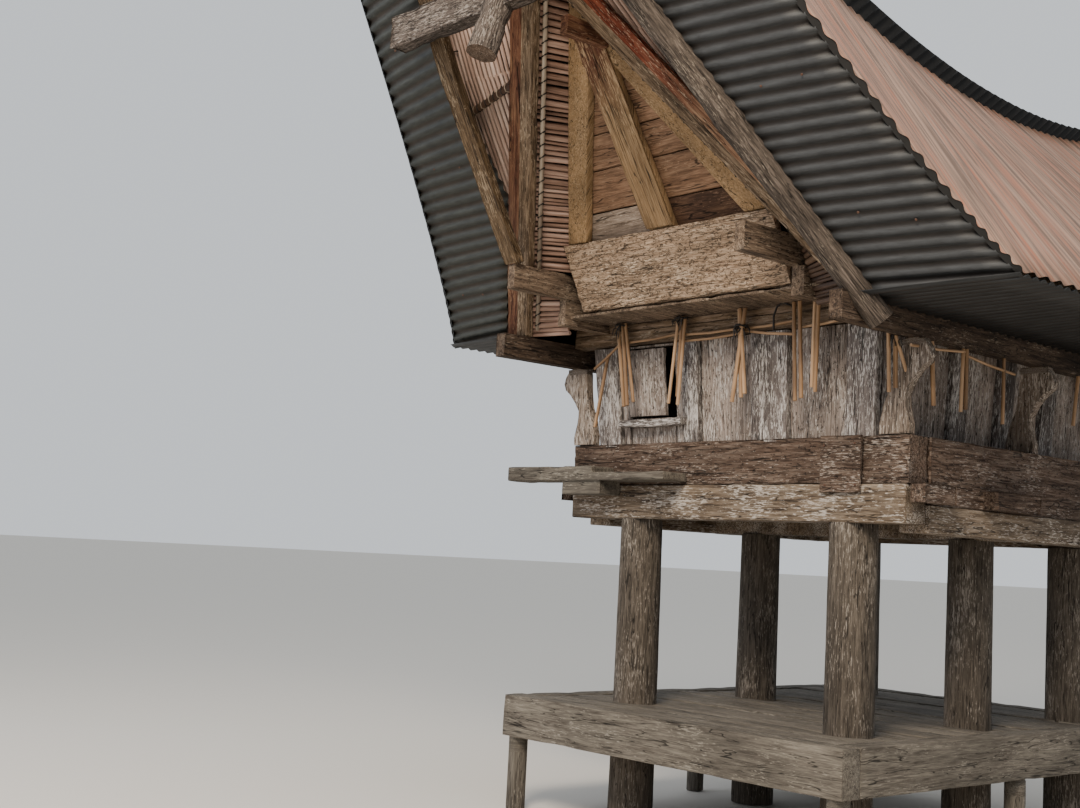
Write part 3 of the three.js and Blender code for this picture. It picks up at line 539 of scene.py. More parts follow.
def finish(bm, name, materials, slot, node=None, smooth=40, recalculate=True):
    """Turns a mesh into a piece that rides on the barn and stands for its frame node."""
    bmesh.ops.translate(bm, vec=Y * BOX_Y, verts=bm.verts)
    if recalculate:
        bmesh.ops.recalc_face_normals(bm, faces=bm.faces)
    mesh = bpy.data.meshes.new(name)
    bm.to_mesh(mesh)
    bm.free()
    mesh.shade_smooth()
    mesh.set_sharp_from_angle(angle=math.radians(smooth))
    for skin in materials:
        mesh.materials.append(material(skin))
    piece = bpy.data.objects.new(name, mesh)
    bpy.context.scene.collection.objects.link(piece)
    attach(piece, "root")
    if node:
        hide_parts(node)
    return piece


def timber(node, wood, slot, grain, step=(0.08, 0.08, 0.08), edge=None, wear=None, chips=None,
           rough=1.0, level=1.0):
    """Makes a worn timber over a frame node of the right shape."""
    settings = bpy.context.scene.barn_timber
    name = f"timber_{node}"
    bm = copy_of(node)
    bevel_sharp(bm, settings.edge if edge is None else edge)
    slice_up(bm, step)
    weather(bm, grain, settings.wear if wear is None else wear,
            settings.chips if chips is None else chips, seed=len(name), rough=rough, level=level)
    return finish(bm, name, [wood], slot, node, recalculate=False)


# Steel of the corrugated sheets, and the thickness of an inner rafter on the level
SHEET_STEEL = 0.0012
RAFTER_DEPTH = 0.050 * math.hypot(1, LEAN)


def thicken(piece, back=0):
    """Gives a sheet its thickness behind its face, with the back's place in the list of
    its materials counted from the face's."""
    thick = piece.modifiers.new("sheet thickness", "SOLIDIFY")
    thick.thickness = SHEET_STEEL
    thick.offset = -1
    thick.material_offset = thick.material_offset_rim = back


# Places on the gables and the roof


def forward_at(plane, z):
    """How far forward of the box's middle a leaning plane stands at a height."""
    return plane["forward"] + LEAN * (z - plane["height"])


def edge_at(plane, z):
    """How far from the barn's middle line the outer edge of its boards lies at a height."""
    return plane["outer"] - plane["slope"] * (z - plane["height"])


def axis_at(axis, z):
    """Distance from the middle and forward of an outer rafter's axis at a height."""
    for a, b in zip(axis, axis[1:]):
        if z <= b[2] or b is axis[-1]:
            share = (z - a[2]) / (b[2] - a[2])
            return a[0] + (b[0] - a[0]) * share, a[1] + (b[1] - a[1]) * share
    raise ValueError("an outer rafter needs two points")


def ridge_z(y):
    u = RIDGE["low_y"] - y
    square, cube = RIDGE_RISE["front" if u > 0 else "rear"]
    return RIDGE["low_z"] + square * u * u + cube * abs(u) ** 3


def barge_at(end, t):
    """Point of a barge's curve, from the eave's corner at 0 to the prow at 1."""
    a, b, c, d = (Vector(p) for p in BARGE[end])
    s = 1 - t
    return a * s ** 3 + b * 3 * s * s * t + c * 3 * s * t * t + d * t ** 3


# Shares of the roof's outline at which the front and the rear eave corners lie
CORNERS = (0.53, 0.82)


def roof_line(share):
    """Edge and ridge points that a wave runs between, from the front prow at 0 to the
    rear one at 1. The shares of the barges follow the lengths that they take."""
    front, rear = CORNERS
    if share < front:
        t = 1 - share / front
        y = RIDGE_AT_CORNER["front"] + (RIDGE["front"] - RIDGE_AT_CORNER["front"]) * t
        return barge_at("front", t), Vector((0, y, ridge_z(y)))
    if share < rear:
        t = (share - front) / (rear - front)
        y = RIDGE_AT_CORNER["front"] + (RIDGE_AT_CORNER["rear"] - RIDGE_AT_CORNER["front"]) * t
        edge_y = EAVE["front"] + (EAVE["rear"] - EAVE["front"]) * t
        return Vector((EAVE["half"], edge_y, EAVE["z"])), Vector((0, y, ridge_z(y)))
    t = (share - rear) / (1 - rear)
    y = RIDGE_AT_CORNER["rear"] + (RIDGE["rear"] - RIDGE_AT_CORNER["rear"]) * t
    return barge_at("rear", t), Vector((0, y, ridge_z(y)))


# Distance between the roof's waves along the ridge, their number, the waves of one sheet,
# and the step at its lap
ROOF_PITCH = 0.095
ROOF_WAVES = int((RIDGE["rear"] - RIDGE["front"]) / ROOF_PITCH)
WAVES_A_SHEET = 8
LAP_STEP = 0.004


def sheet_height(share):
    """Height of the roof sheets out of the slope: their waves, and a step where each
    sheet laps the next."""
    wave = bpy.context.scene.barn_sheets.wave / 2
    crest = math.cos(2 * math.pi * ROOF_WAVES * share) * wave - wave
    return crest - LAP_STEP + LAP_STEP * ((share * ROOF_WAVES / WAVES_A_SHEET) % 1)


def sheet_normal(share):
    """Direction out of the roof slope at one wave."""
    step = 0.004 if share < 0.5 else -0.004
    edge, top = roof_line(share)
    way = (roof_line(share + step)[0] - edge) * (1 if step > 0 else -1)
    out = way.cross(top - edge)
    if out.length < 1e-9:
        return Z
    out.normalize()
    return out if out.z > 0 else -out


def soffit_edges(end):
    """Points of a soffit's outer edge, just under the valleys of the roof sheets."""
    points = []
    for i in range(201):
        t = i / 200
        share = CORNERS[0] * (1 - t) if end == "front" else CORNERS[1] + (1 - CORNERS[1]) * t
        points.append(barge_at(end, t) - sheet_normal(share) * SOFFIT_DROP)
    return points


# Soffits: how far their outer edges lie below the roof sheets, and their foot and tops
SOFFIT_DROP = 0.035
SOFFIT_LOW = 2.955
SOFFIT_TOP = {end: barge_at(end, 0.97).z - 0.03 for end in ENDS}
SOFFIT_EDGES = {end: soffit_edges(end) for end in ENDS}


def soffit_axis(end, side):
    """Line of the leaning soffit's inner edge: the outer rafter, or, below the left one's
    foot, the inner rafter."""
    if (end, side) != ("front", "left"):
        return OUTER_AXES[end, side]
    foot = [(edge_at(RAFTER, z), forward_at(RAFTER, z), z) for z in (2.985, RAFTER["height"])]
    return foot + OUTER_AXES[end, side][1:]


def soffit_at(end, side, u, v, height=0.0):
    """Point of a leaning soffit, from the foot at u 0 to the prow at 1, and from the barge
    at v 0 to the rafter at 1. height moves it out of the sheet's plane."""
    axis, apex, tip = soffit_axis(end, side), soffit_axis(end, side)[-1], barge_at(end, 1)
    z = SOFFIT_LOW + (SOFFIT_TOP[end] - SOFFIT_LOW) * u
    edge = SOFFIT_EDGES[end][-1]
    for a, b in zip(SOFFIT_EDGES[end], SOFFIT_EDGES[end][1:]):
        if z <= b.z:
            edge = a.lerp(b, max(0.0, (z - a.z) / (b.z - a.z)))
            break
    outer = Vector((max(edge.x, 0.001), abs(edge.y), z))
    x, forward = axis_at(axis, min(z, apex[2]))
    inner = Vector((max(x, 0.0), forward, z))
    if z > apex[2]:
        inner = Vector((0.0004, apex[1] + (abs(tip.y) - apex[1]) * (z - apex[2]) / (tip.z - apex[2]), z))
    normal = (inner - outer).normalized().cross(Vector((0, 0.6, 0.8))).normalized()
    place = outer.lerp(inner, v) + normal * (height if normal.y > 0 else -height)
    return Vector((SIDES[side] * place.x, ENDS[end] * place.y, place.z))


def sheet_grid(across, down, point, run):
    """Grid whose points are placed by a rule of two shares, with the run attribute of
    its distance across and down the waves and the wave's height."""
    bm = bmesh.new()
    layer = bm.verts.layers.float_vector.new("run")
    bm.verts.layers.float_vector.new("grain")
    bmesh.ops.create_grid(bm, x_segments=across, y_segments=down, size=0.5)
    for vert in bm.verts:
        u, v = vert.co.x + 0.5, vert.co.y + 0.5
        vert[layer] = run(u, v)
        vert.co = point(u, v)
    return bm


# Operators: one for each piece or group of like pieces


def upright_grain(p):
    return Vector((p.z, p.x, p.y))


def post_shapes():
    """Row and side of each post, its axis, the radius of its foot and its height."""
    for row in ("front", "middle", "rear"):
        for side in SIDES:
            low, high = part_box(f"post_{row}_{side}")
            yield row, side, (low + high) / 2 - Y * BOX_Y, (high.x - low.x) / 2, high.z


# Posts: the head's share of the foot's radius, how far the head reaches into the beams,
# the number of rings, and the arris
POST = {"taper": 0.93, "reach": 0.008, "rings": 18, "arris": 0.008}


class BARN_OT_posts(bpy.types.Operator):
    """Six round posts with long checks and a slightly uneven girth"""
    bl_idname = "barn.posts"
    bl_label = "Posts"

    def execute(self, context):
        count = POST["rings"]
        for row, side, middle, foot, top in post_shapes():
            node = f"post_{row}_{side}"
            head = foot * POST["taper"]
            bm = new_mesh()
            points = [(middle.x, middle.y, (top + POST["reach"]) * i / count) for i in range(count + 1)]
            radii = [foot + (head - foot) * i / count for i in range(count + 1)]
            rod(bm, points, radii, sides=28, seed=len(node) + ord(row[0]))
            caps = [f for f in bm.faces if len(f.verts) > 4]
            rims = {e for f in caps for e in f.edges}
            bmesh.ops.bevel(bm, geom=list(rims), offset=POST["arris"], offset_type="OFFSET", segments=2,
                            profile=0.5, affect="EDGES", clamp_overlap=True, material=-1)
            weather(bm, upright_grain, 0.010, 0.006, seed=ord(row[0]) + ord(side[0]))
            finish(bm, f"timber_{node}", ["grey_post_hardwood"], "post_wood", node)
        return {"FINISHED"}


# Platform: where its legs end, the deck's planks and the gaps between them, the joists'
# distance from the middle and half their width, and how far the posts hide the deck
PLATFORM = {"legs_top": 0.43, "plank": 0.040, "gap": 0.012, "joist": 0.560, "joist_half": 0.060,
            "narrowest": 0.08, "hidden": 0.85, "margin": 0.05}


def platform_grain(direction):
    """Grain of a platform beam, which turns upright in its legs."""
    flat = along(direction)
    return lambda p: upright_grain(p) if p.z < PLATFORM["legs_top"] else flat(p)


class BARN_OT_platform(bpy.types.Operator):
    """Sitting platform: squared edge beams on short legs, and planks across the joists"""
    bl_idname = "barn.platform"
    bl_label = "Sitting platform"

    def execute(self, context):
        wood, slot = "grey_platform_hardwood", "platform_wood"
        for end in ENDS:
            timber(f"platform_beam_{end}", wood, slot, platform_grain(X), step=(0.10, 0.08, 0.09))
        for side in SIDES:
            timber(f"platform_beam_{side}", wood, slot, platform_grain(Y), step=(0.08, 0.10, 0.09))
        self.planks(wood, slot)
        return {"FINISHED"}

    def planks(self, wood, slot):
        """Deck of planks that run across the barn, cut round the posts."""
        low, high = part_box("platform_deck")
        low, high = low - Y * BOX_Y, high - Y * BOX_Y
        thick, gap, half = PLATFORM["plank"], PLATFORM["gap"], PLATFORM["joist_half"]
        chance = random.Random(4)
        bm = new_mesh()
        for end in ENDS.values():
            middle = end * PLATFORM["joist"]
            board(bm, (low.x, middle - half, low.z), (high.x, middle + half, high.z - thick), X, seed=end + 3)
        y = low.y
        seed = 0
        while y < high.y - 0.01:
            width = min(chance.uniform(0.16, 0.27), high.y - y)
            if high.y - y - width < PLATFORM["narrowest"]:
                width = high.y - y
            top = high.z - chance.uniform(0, 0.010)
            seed += 1
            board(bm, (low.x, y + gap / 2, top - thick + 0.0005), (high.x, y + width - gap / 2, top),
                  X, seed=seed, step=0.11)
            y += width
        self.cut_posts(bm)
        finish(bm, "deck_planks", [wood], slot, "platform_deck")

    def cut_posts(self, bm):
        """Drops the faces of the planks that lie inside the posts."""
        hidden = []
        for _, _, middle, foot, _ in post_shapes():
            reach = foot * PLATFORM["hidden"] - PLATFORM["margin"]
            hidden += [f for f in bm.faces if (f.calc_center_median().xy - middle.xy).length < reach]
        bmesh.ops.delete(bm, geom=hidden, context="FACES")


class BARN_OT_floor_frame(bpy.types.Operator):
    """Heavy beams under the store box, with the floor boards between them"""
    bl_idname = "barn.floor_frame"
    bl_label = "Floor frame"

    def execute(self, context):
        for end in ENDS:
            timber(f"floor_beam_{end}", "brown_floor_beam", "beam_wood", along(X),
                   step=(0.05, 0.06, 0.05), edge=0.010, wear=0.006, chips=0.030, level=0.4)
        timber("store_floor", "brown_floor_beam", "beam_wood", along(Y), wear=0.002)
        return {"FINISHED"}


# Rough board nailed over a rotten stretch of the front sill, from corner to corner
SILL_PATCH = ((0.735, -1.318, 1.985), (1.012, -1.290, 2.305))


class BARN_OT_sills(bpy.types.Operator):
    """Sills of soft dark hardwood, eaten into long ridges by rain and insects"""
    bl_idname = "barn.sills"
    bl_label = "Sills"

    def execute(self, context):
        wood, slot = "eroded_sill_hardwood", "sill_wood"
        for end in ENDS:
            timber(f"sill_{end}", wood, slot, along(X), step=(0.035, 0.06, 0.022), edge=0.012,
                   wear=0.028, chips=0.030, level=0.15)
        for side in SIDES:
            timber(f"sill_{side}", wood, slot, along(Y), step=(0.06, 0.045, 0.030), edge=0.010,
                   wear=0.022, chips=0.028, level=0.15)
        bm = new_mesh()
        board(bm, *SILL_PATCH, X, seed=9, edge=0.006, wear=0.010, chips=0.050, step=0.022)
        finish(bm, "sill_patch_board", [wood], slot)
        return {"FINISHED"}


# Walls, which lean out by a little from foot to top: the distance of their outer faces
# from the box's middle, their heights and the thicknesses of their boards
WALL = {"half": 1.060, "face": 1.275, "foot": 2.300, "top": 2.920, "lean": 0.045, "stile": 0.062,
        "panel": 0.034, "gap": 0.002}
# Proud stiles of the end and side walls, from edge to edge, and the hatch opening with the
# right edge of its plank, whose face is sunk behind the stiles
END_STILES = [(-1.060, -0.860), (-0.330, -0.196), (0.200, 0.469), (0.860, 1.060)]
SIDE_STILES = [(-1.2124, -1.010), (-0.560, -0.400), (-0.080, 0.090), (0.400, 0.560), (1.010, 1.2124)]
HATCH = {"left": -0.790, "right": -0.405, "bottom": 2.465, "top": 2.895, "plank_right": -0.475, "sink": 0.014}


def wall_place(end=None, side=None):
    """Moves a wall board that is drawn with u along the wall in X, its depth behind the
    face in Y and its height in Z, to its leaning place."""
    def place(p):
        level = (p.z - WALL["foot"]) / (WALL["top"] - WALL["foot"])
        out = WALL["face"] if end is not None else WALL["half"]
        half = WALL["half"] if end is not None else WALL["face"]
        u = p.x * (half + level * WALL["lean"]) / half
        depth = out + level * WALL["lean"] - p.y
        return Vector((u, end * depth, p.z)) if end is not None else Vector((side * depth, u, p.z))
    return place


class BARN_OT_walls(bpy.types.Operator):
    """Walls of upright boards between proud stiles, with the hatch in the front one"""
    bl_idname = "barn.walls"
    bl_label = "Walls"

    woods = ("rough_wall_panel", "bleached_wall_stile")

    def execute(self, context):
        for name, end in ENDS.items():
            bm = self.wall(END_STILES, wall_place(end=end), hatch=name == "front", seed=end + 5)
            finish(bm, f"boards_wall_{name}", self.woods, "wall_wood", f"wall_{name}")
        for name, side in SIDES.items():
            bm = self.wall(SIDE_STILES, wall_place(side=side), hatch=False, seed=side + 11)
            finish(bm, f"boards_wall_{name}", self.woods, "wall_wood", f"wall_{name}")
        self.hatch()
        return {"FINISHED"}

    def wall(self, stiles, place, hatch, seed):
        bm = new_mesh()
        low, high = WALL["foot"] - 0.020, WALL["top"] - 0.0005
        proud, gap = WALL["stile"] - WALL["panel"], WALL["gap"]
        for i, (start, stop) in enumerate(stiles):
            board(bm, (start, 0, low), (stop, WALL["stile"], high), Z, place, seed=seed + i,
                  wear=0.008, chips=0.018, step=0.04)
        paint(bm, 0, 1)
        panels = []
        for start, stop in [(a[1] + gap, b[0] - gap) for a, b in zip(stiles, stiles[1:])]:
            if hatch and start < HATCH["left"] < stop:
                panels += [((start, low), (HATCH["left"] - gap, high)),
                           ((HATCH["right"] + gap, low), (stop, high)),
                           ((HATCH["left"], low), (HATCH["right"], HATCH["bottom"] - 0.004)),
                           ((HATCH["left"], HATCH["top"] + 0.002), (HATCH["right"], high))]
            else:
                panels.append(((start, low), (stop, high)))
        for i, ((x0, z0), (x1, z1)) in enumerate(panels):
            board(bm, (x0, proud, z0), (x1, WALL["stile"], z1), Z, place, seed=seed + 20 + i,
                  wear=0.009, chips=0.010, step=0.04)
        return bm

    def hatch(self):
        """Sliding plank of the hatch, and the ledge that it stands on."""
        bm = new_mesh()
        sink = HATCH["sink"]
        board(bm, (HATCH["left"] + 0.004, sink, HATCH["bottom"] + 0.002),
              (HATCH["plank_right"], sink + WALL["panel"], HATCH["top"] - 0.002),
              Z, wall_place(end=-1), seed=31, wear=0.008, chips=0.022, step=0.03)
        finish(bm, "hatch_board", self.woods, "wall_wood", "hatch_plank")
        bm = new_mesh()
        low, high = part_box("hatch_ledge")
        middle, half, sag = -0.568, 0.272, 0.010

        def bow(p):
            share = (p.x - middle) / half
            return p + Vector((0, 0, sag * share * share - 0.008))

        board(bm, (low.x, low.y - BOX_Y, low.z), (high.x, -1.262, high.z - 0.004), X, bow, seed=33,
              edge=0.010, wear=0.007, chips=0.014, step=0.035)
        finish(bm, "hatch_ledge_board", ["bleached_wall_stile"], "wall_wood", "hatch_ledge")


# Height up to which an eave plate's node is its brackets, and how far out and up the gable
# beams' node is the lintel that ties them
BRACKET_TOP = 2.800
LINTEL_REACH, LINTEL_TOP = 1.36, 3.065


def plate_grain(p):
    """The plate's grain runs along the barn, and turns upright in its brackets."""
    return upright_grain(p) if p.z < BRACKET_TOP else Vector((p.y, p.x, p.z))


def beams_grain(p):
    """Grain of the gable beams, and across them that of the lintel that ties them."""
    if abs(p.y) < LINTEL_REACH and p.z < LINTEL_TOP:
        return Vector((p.x, p.y, p.z))
    return Vector((p.y, p.x, p.z))


class BARN_OT_plates(bpy.types.Operator):
    """Eave plates on their carved brackets"""
    bl_idname = "barn.plates"
    bl_label = "Eave plates"

    def execute(self, context):
        for side in SIDES:
            piece = timber(f"plate_{side}", "dark_and_painted_shade_plate_hardwood", "plate_wood", plate_grain,
                           step=(0.06, 0.07, 0.05), wear=0.007, chips=0.020)
            # The brackets take a paler copy of the plate's wood as painted light, the plate a darker one as
            # painted shade
            piece.data.materials.append(material("painted_light_bracket_hardwood"))
            for face in piece.data.polygons:
                if face.center.z < BRACKET_TOP:
                    face.material_index = 1
        return {"FINISHED"}


# Board over the front's middle plank, and the end of the short beam beside its top
PLANK = {"half": 0.103, "foot": 3.463, "top": 4.440, "proud": 0.012, "thick": 0.016}
BEAM_END = ((0.080, -2.790, 4.318), (0.146, -2.480, 4.424))
# Gable walls: the boards' heights from the lowest up, their thickness, the wall's half
# width at its foot, and how far behind the gable boards' face the wall stands
GABLE_BOARDS = (0.232, 0.205, 0.170, 0.215, 0.190, 0.240)
GABLE_WALL = {"thick": 0.026, "half": 0.80, "behind": 0.048 * math.hypot(1, LEAN)}
# Part of the gable boards' node that is their middle plank: half its width, and its top
MIDDLE_PLANK = {"half": 0.101, "top": 4.262}
# Boards over the lintel: half their length, their distance from the middle, their thickness
# and their heights
LINTEL = {"half": 1.240, "face": 1.350, "thick": 0.016, "boards": ((2.924, 3.000), (3.002, 3.044))}


class BARN_OT_gables(bpy.types.Operator):
    """Gable beams, the wormed cross boards, the gable walls and the leaning boards"""
    bl_idname = "barn.gables"
    bl_label = "Gables"

    def execute(self, context):
        for name, end in ENDS.items():
            timber(f"gable_beams_{name}", "grey_beam_hardwood", "plate_wood", beams_grain,
                   step=(0.06, 0.06, 0.05), wear=0.007, chips=0.022)
            timber(f"cross_board_{name}", "wormed_cross_board", "cross_board_wood", along(X),
                   step=(0.03, 0.08, 0.022), edge=0.012, wear=0.014, chips=0.040, rough=1.6)
            timber(f"gable_boards_{name}", "ochre_gable_board", "ochre_board", self.gable_grain,
                   step=(0.08, 0.30, 0.08), edge=0.005, wear=0.003)
            self.wall(name, end)
            self.lintel(name, end)
        self.plank()
        return {"FINISHED"}

    @staticmethod
    def plank():
        """Board over the front's middle plank, with its red top nailed to the end of a
        short beam that comes out of the gable."""
        def place(p):
            return Vector((p.x, -(forward_at(GABLE, p.z) + PLANK["proud"] - p.y), p.z))

        bm = new_mesh()
        board(bm, (-PLANK["half"], 0, PLANK["foot"]), (PLANK["half"], PLANK["thick"], PLANK["top"]), Z, place,
              seed=71, wear=0.003, chips=0.008, step=0.07)
        finish(bm, "board_gable_plank_front", ["red_topped_gable_plank"], "ochre_board")
        bm = new_mesh()
        board(bm, *BEAM_END, Y, seed=72, wear=0.006, chips=0.014, step=0.04)
        finish(bm, "beam_end_gable_front", ["red_rafter_board"], "red_board")

    @staticmethod
    def gable_grain(p):
        """Upright in the middle plank, and along the leaning boards beside it."""
        if abs(p.x) < MIDDLE_PLANK["half"] and p.z < MIDDLE_PLANK["top"]:
            return upright_grain(p)
        side = 1 if p.x > 0 else -1
        lean = Vector((-side * GABLE["slope"], 0, 1)).normalized()
        return along(lean)(p)

    @staticmethod
    def wall(name, end):
        """Red-brown boards laid level inside the gable, meeting behind the middle plank.
        At the front the lowest pair is grey on the left and dark on the right."""
        low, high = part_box(f"gable_wall_{name}")
        forward = GABLE["forward"] - GABLE_WALL["behind"] - 0.0006

        def half_at(z):
            return GABLE_WALL["half"] * (high.z - z) / (high.z - low.z)

        def place(p):
            x = max(-half_at(p.z), min(half_at(p.z), p.x))
            return Vector((x, end * (forward + LEAN * (p.z - GABLE["height"]) - p.y), p.z))

        bm = new_mesh()
        z, i = low.z, 0
        while z < high.z - 0.02:
            top = min(z + GABLE_BOARDS[i % len(GABLE_BOARDS)], high.z - 0.004)
            half = max(half_at(z), 0.03)
            for side, (start, stop) in enumerate(((-half, -0.001), (0.001, half))):
                first = len(bm.faces)
                board(bm, (start, 0, z + 0.002), (stop, GABLE_WALL["thick"], top - 0.002), X, place,
                      seed=40 + i + 9 * side, wear=0.003, chips=0.006, step=0.07)
                if name == "front" and i == 0:
                    paint(bm, first, 1 + side)
            z = top
            i += 1
        bmesh.ops.remove_doubles(bm, verts=bm.verts, dist=0.0002)
        woods = ("red_gable_board", "grey_gable_board", "dark_gable_board")
        finish(bm, f"boards_gable_wall_{name}", woods, "red_board", f"gable_wall_{name}")

    @staticmethod
    def lintel(name, end):
        """Two long boards over the end wall, in front of the lintel's core."""
        bm = new_mesh()
        for i, (z0, z1) in enumerate(LINTEL["boards"]):
            y = sorted((end * LINTEL["face"], end * (LINTEL["face"] + LINTEL["thick"] - 0.006 * i)))
            board(bm, (-LINTEL["half"], y[0], z0), (LINTEL["half"], y[1], z1), X, seed=60 + i,
                  wear=0.004, chips=0.010, step=0.06)
        finish(bm, f"lintel_boards_{name}", ["lintel_board"], "plate_wood")


# Width of the inner rafters' outer part, which is still red
RED_PART = 0.105
# Outer logs: their radius and rings, and the height of the knot
LOG = {"radius": 0.070, "rings": 44, "knot": 3.75}
# King post: its foot and head, its radius, its rings and about how far apart they stand
KING_POST = {"foot": (0, -3.242, 4.102), "head": (0, -2.610, 6.040), "radius": 0.089, "rings": 40,
             "ring_step": 0.05}


class BARN_OT_rafters(bpy.types.Operator):
    """Inner rafter boards, the outer log and board, the tie beam and the king post"""
    bl_idname = "barn.rafters"
    bl_label = "Rafters"

    def execute(self, context):
        for end in ENDS:
            for side in SIDES:
                self.inner_rafter(end, side)
        self.log("outer_rafter_front_right", [("front", "right")])
        self.log("outer_rafters_rear", [("rear", "right"), ("rear", "left")])
        board_grain = along(Vector((0.179, -0.73, 1)))
        timber("outer_rafter_front_left", "brown_rafter_board", "rafter_log", board_grain,
               step=(0.10, 0.10, 0.07), edge=0.006, wear=0.006, chips=0.014)
        timber("tie_beam", "rough_tie_wood", "rafter_log", along(X),
               step=(0.035, 0.05, 0.03), edge=0.014, wear=0.022, chips=0.045)
        self.king_post()
        return {"FINISHED"}

    @staticmethod
    def inner_rafter(end, side):
        """A board with its outer half still red and its inner half bleached to ochre."""
        node = f"inner_rafter_{end}_{side}"
        sign = SIDES[side]
        lean = Vector((-sign * RAFTER["slope"], ENDS[end] * LEAN, 1))
        bm = copy_of(node)
        bevel_sharp(bm, 0.008)
        slice_up(bm, (0.07, 0.30, 0.07))
        middle = Vector((sign * (RAFTER["outer"] - RED_PART), 0, RAFTER["height"]))
        across = Vector((1, 0, sign * RAFTER["slope"])).normalized()
        bmesh.ops.bisect_plane(bm, geom=bm.verts[:] + bm.edges[:] + bm.faces[:], dist=1e-5,
                               plane_co=middle, plane_no=across)
        for face in bm.faces:
            if (face.calc_center_median() - middle).dot(across) * sign < 0:
                face.material_index = 1
        weather(bm, along(lean), 0.005, 0.016, seed=len(node) + sign)
        outer = "red_rafter_board" if side == "left" else "red_topped_rafter_board"
        finish(bm, f"timber_{node}", [outer, "ochre_rafter_board"], "red_board", node, recalculate=False)

    @staticmethod
    def log(node, ends):
        """A peeled log with a knot and a slow change of girth, its foot cut square."""
        bm = new_mesh()
        count = LOG["rings"]
        for end, side in ends:
            axis = OUTER_AXES[end, side]
            sign, out = SIDES[side], ENDS[end]
            points, radii = [], []
            top = axis[-1][2] - 0.10
            for i in range(count + 1):
                z = axis[0][2] + (top - axis[0][2]) * i / count
                x, forward = axis_at(axis, z)
                sway = noise.noise(Vector((z * 0.9, sign, out))) * 0.012
                points.append((sign * (max(x, 0.05) + sway), out * forward, z))
                knot = 0.010 * math.exp(-((z - LOG["knot"]) / 0.06) ** 2)
                radii.append(LOG["radius"] + knot + 0.005 * noise.noise(Vector((z * 2.3, sign * 3, out))))
            rod(bm, points, radii, sides=16, seed=sign + 7)
        grain = along(Vector((-0.40, 0.78 if "rear" in node else -0.78, 1)))
        weather(bm, grain, 0.008, 0.004, seed=3, mark=False)
        # The log's wood is darkened as painted shade
        finish(bm, f"log_{node}", ["painted_shade_rafter_log"], "rafter_log", node)

    @staticmethod
    def king_post():
        """Hanging post with its foot sawn off and two shallow waists, rough as cork."""
        foot, head, count = Vector(KING_POST["foot"]), Vector(KING_POST["head"]), KING_POST["rings"]

        def waist(ring, place):
            """Share of its depth that a waist at one distance from the foot has at a ring."""
            return math.exp(-((ring * KING_POST["ring_step"] - place) / 0.03) ** 2)

        bm = new_mesh()
        share = (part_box("king_post")[1].z - foot.z) / (head.z - foot.z)
        points = [foot.lerp(head, share * i / count) for i in range(count + 1)]
        radii = [KING_POST["radius"] - 0.010 * waist(i, 0.20) - 0.008 * waist(i, 0.38)
                 for i in range(count + 1)]
        rod(bm, points, radii, sides=20, seed=5)
        weather(bm, along(head - foot), 0.022, 0.010, seed=8, rough=1.4, mark=False)
        for face in bm.faces:
            if (face.calc_center_median() - foot).length < 0.06 and face.normal.dot(foot - head) > 0.7:
                face.material_index = 1
        finish(bm, "timber_king_post", ["rough_tie_wood", "sawn_end_wood"], "rafter_log", "king_post")


# How far the left slope laps the ridge, and the most that the right one stays short of it
RIDGE_LAP, RIDGE_GAP = 0.070, 0.022
# Flashing: its depth, its distance below the roof sheets and behind their edge
FLASHING = {"depth": 0.041, "gap": 0.0016, "inset": 0.006}
# Ridge pole: its width as a share of the node's, and how far it hangs below it
POLE = {"width": 0.86, "drop": 0.024}


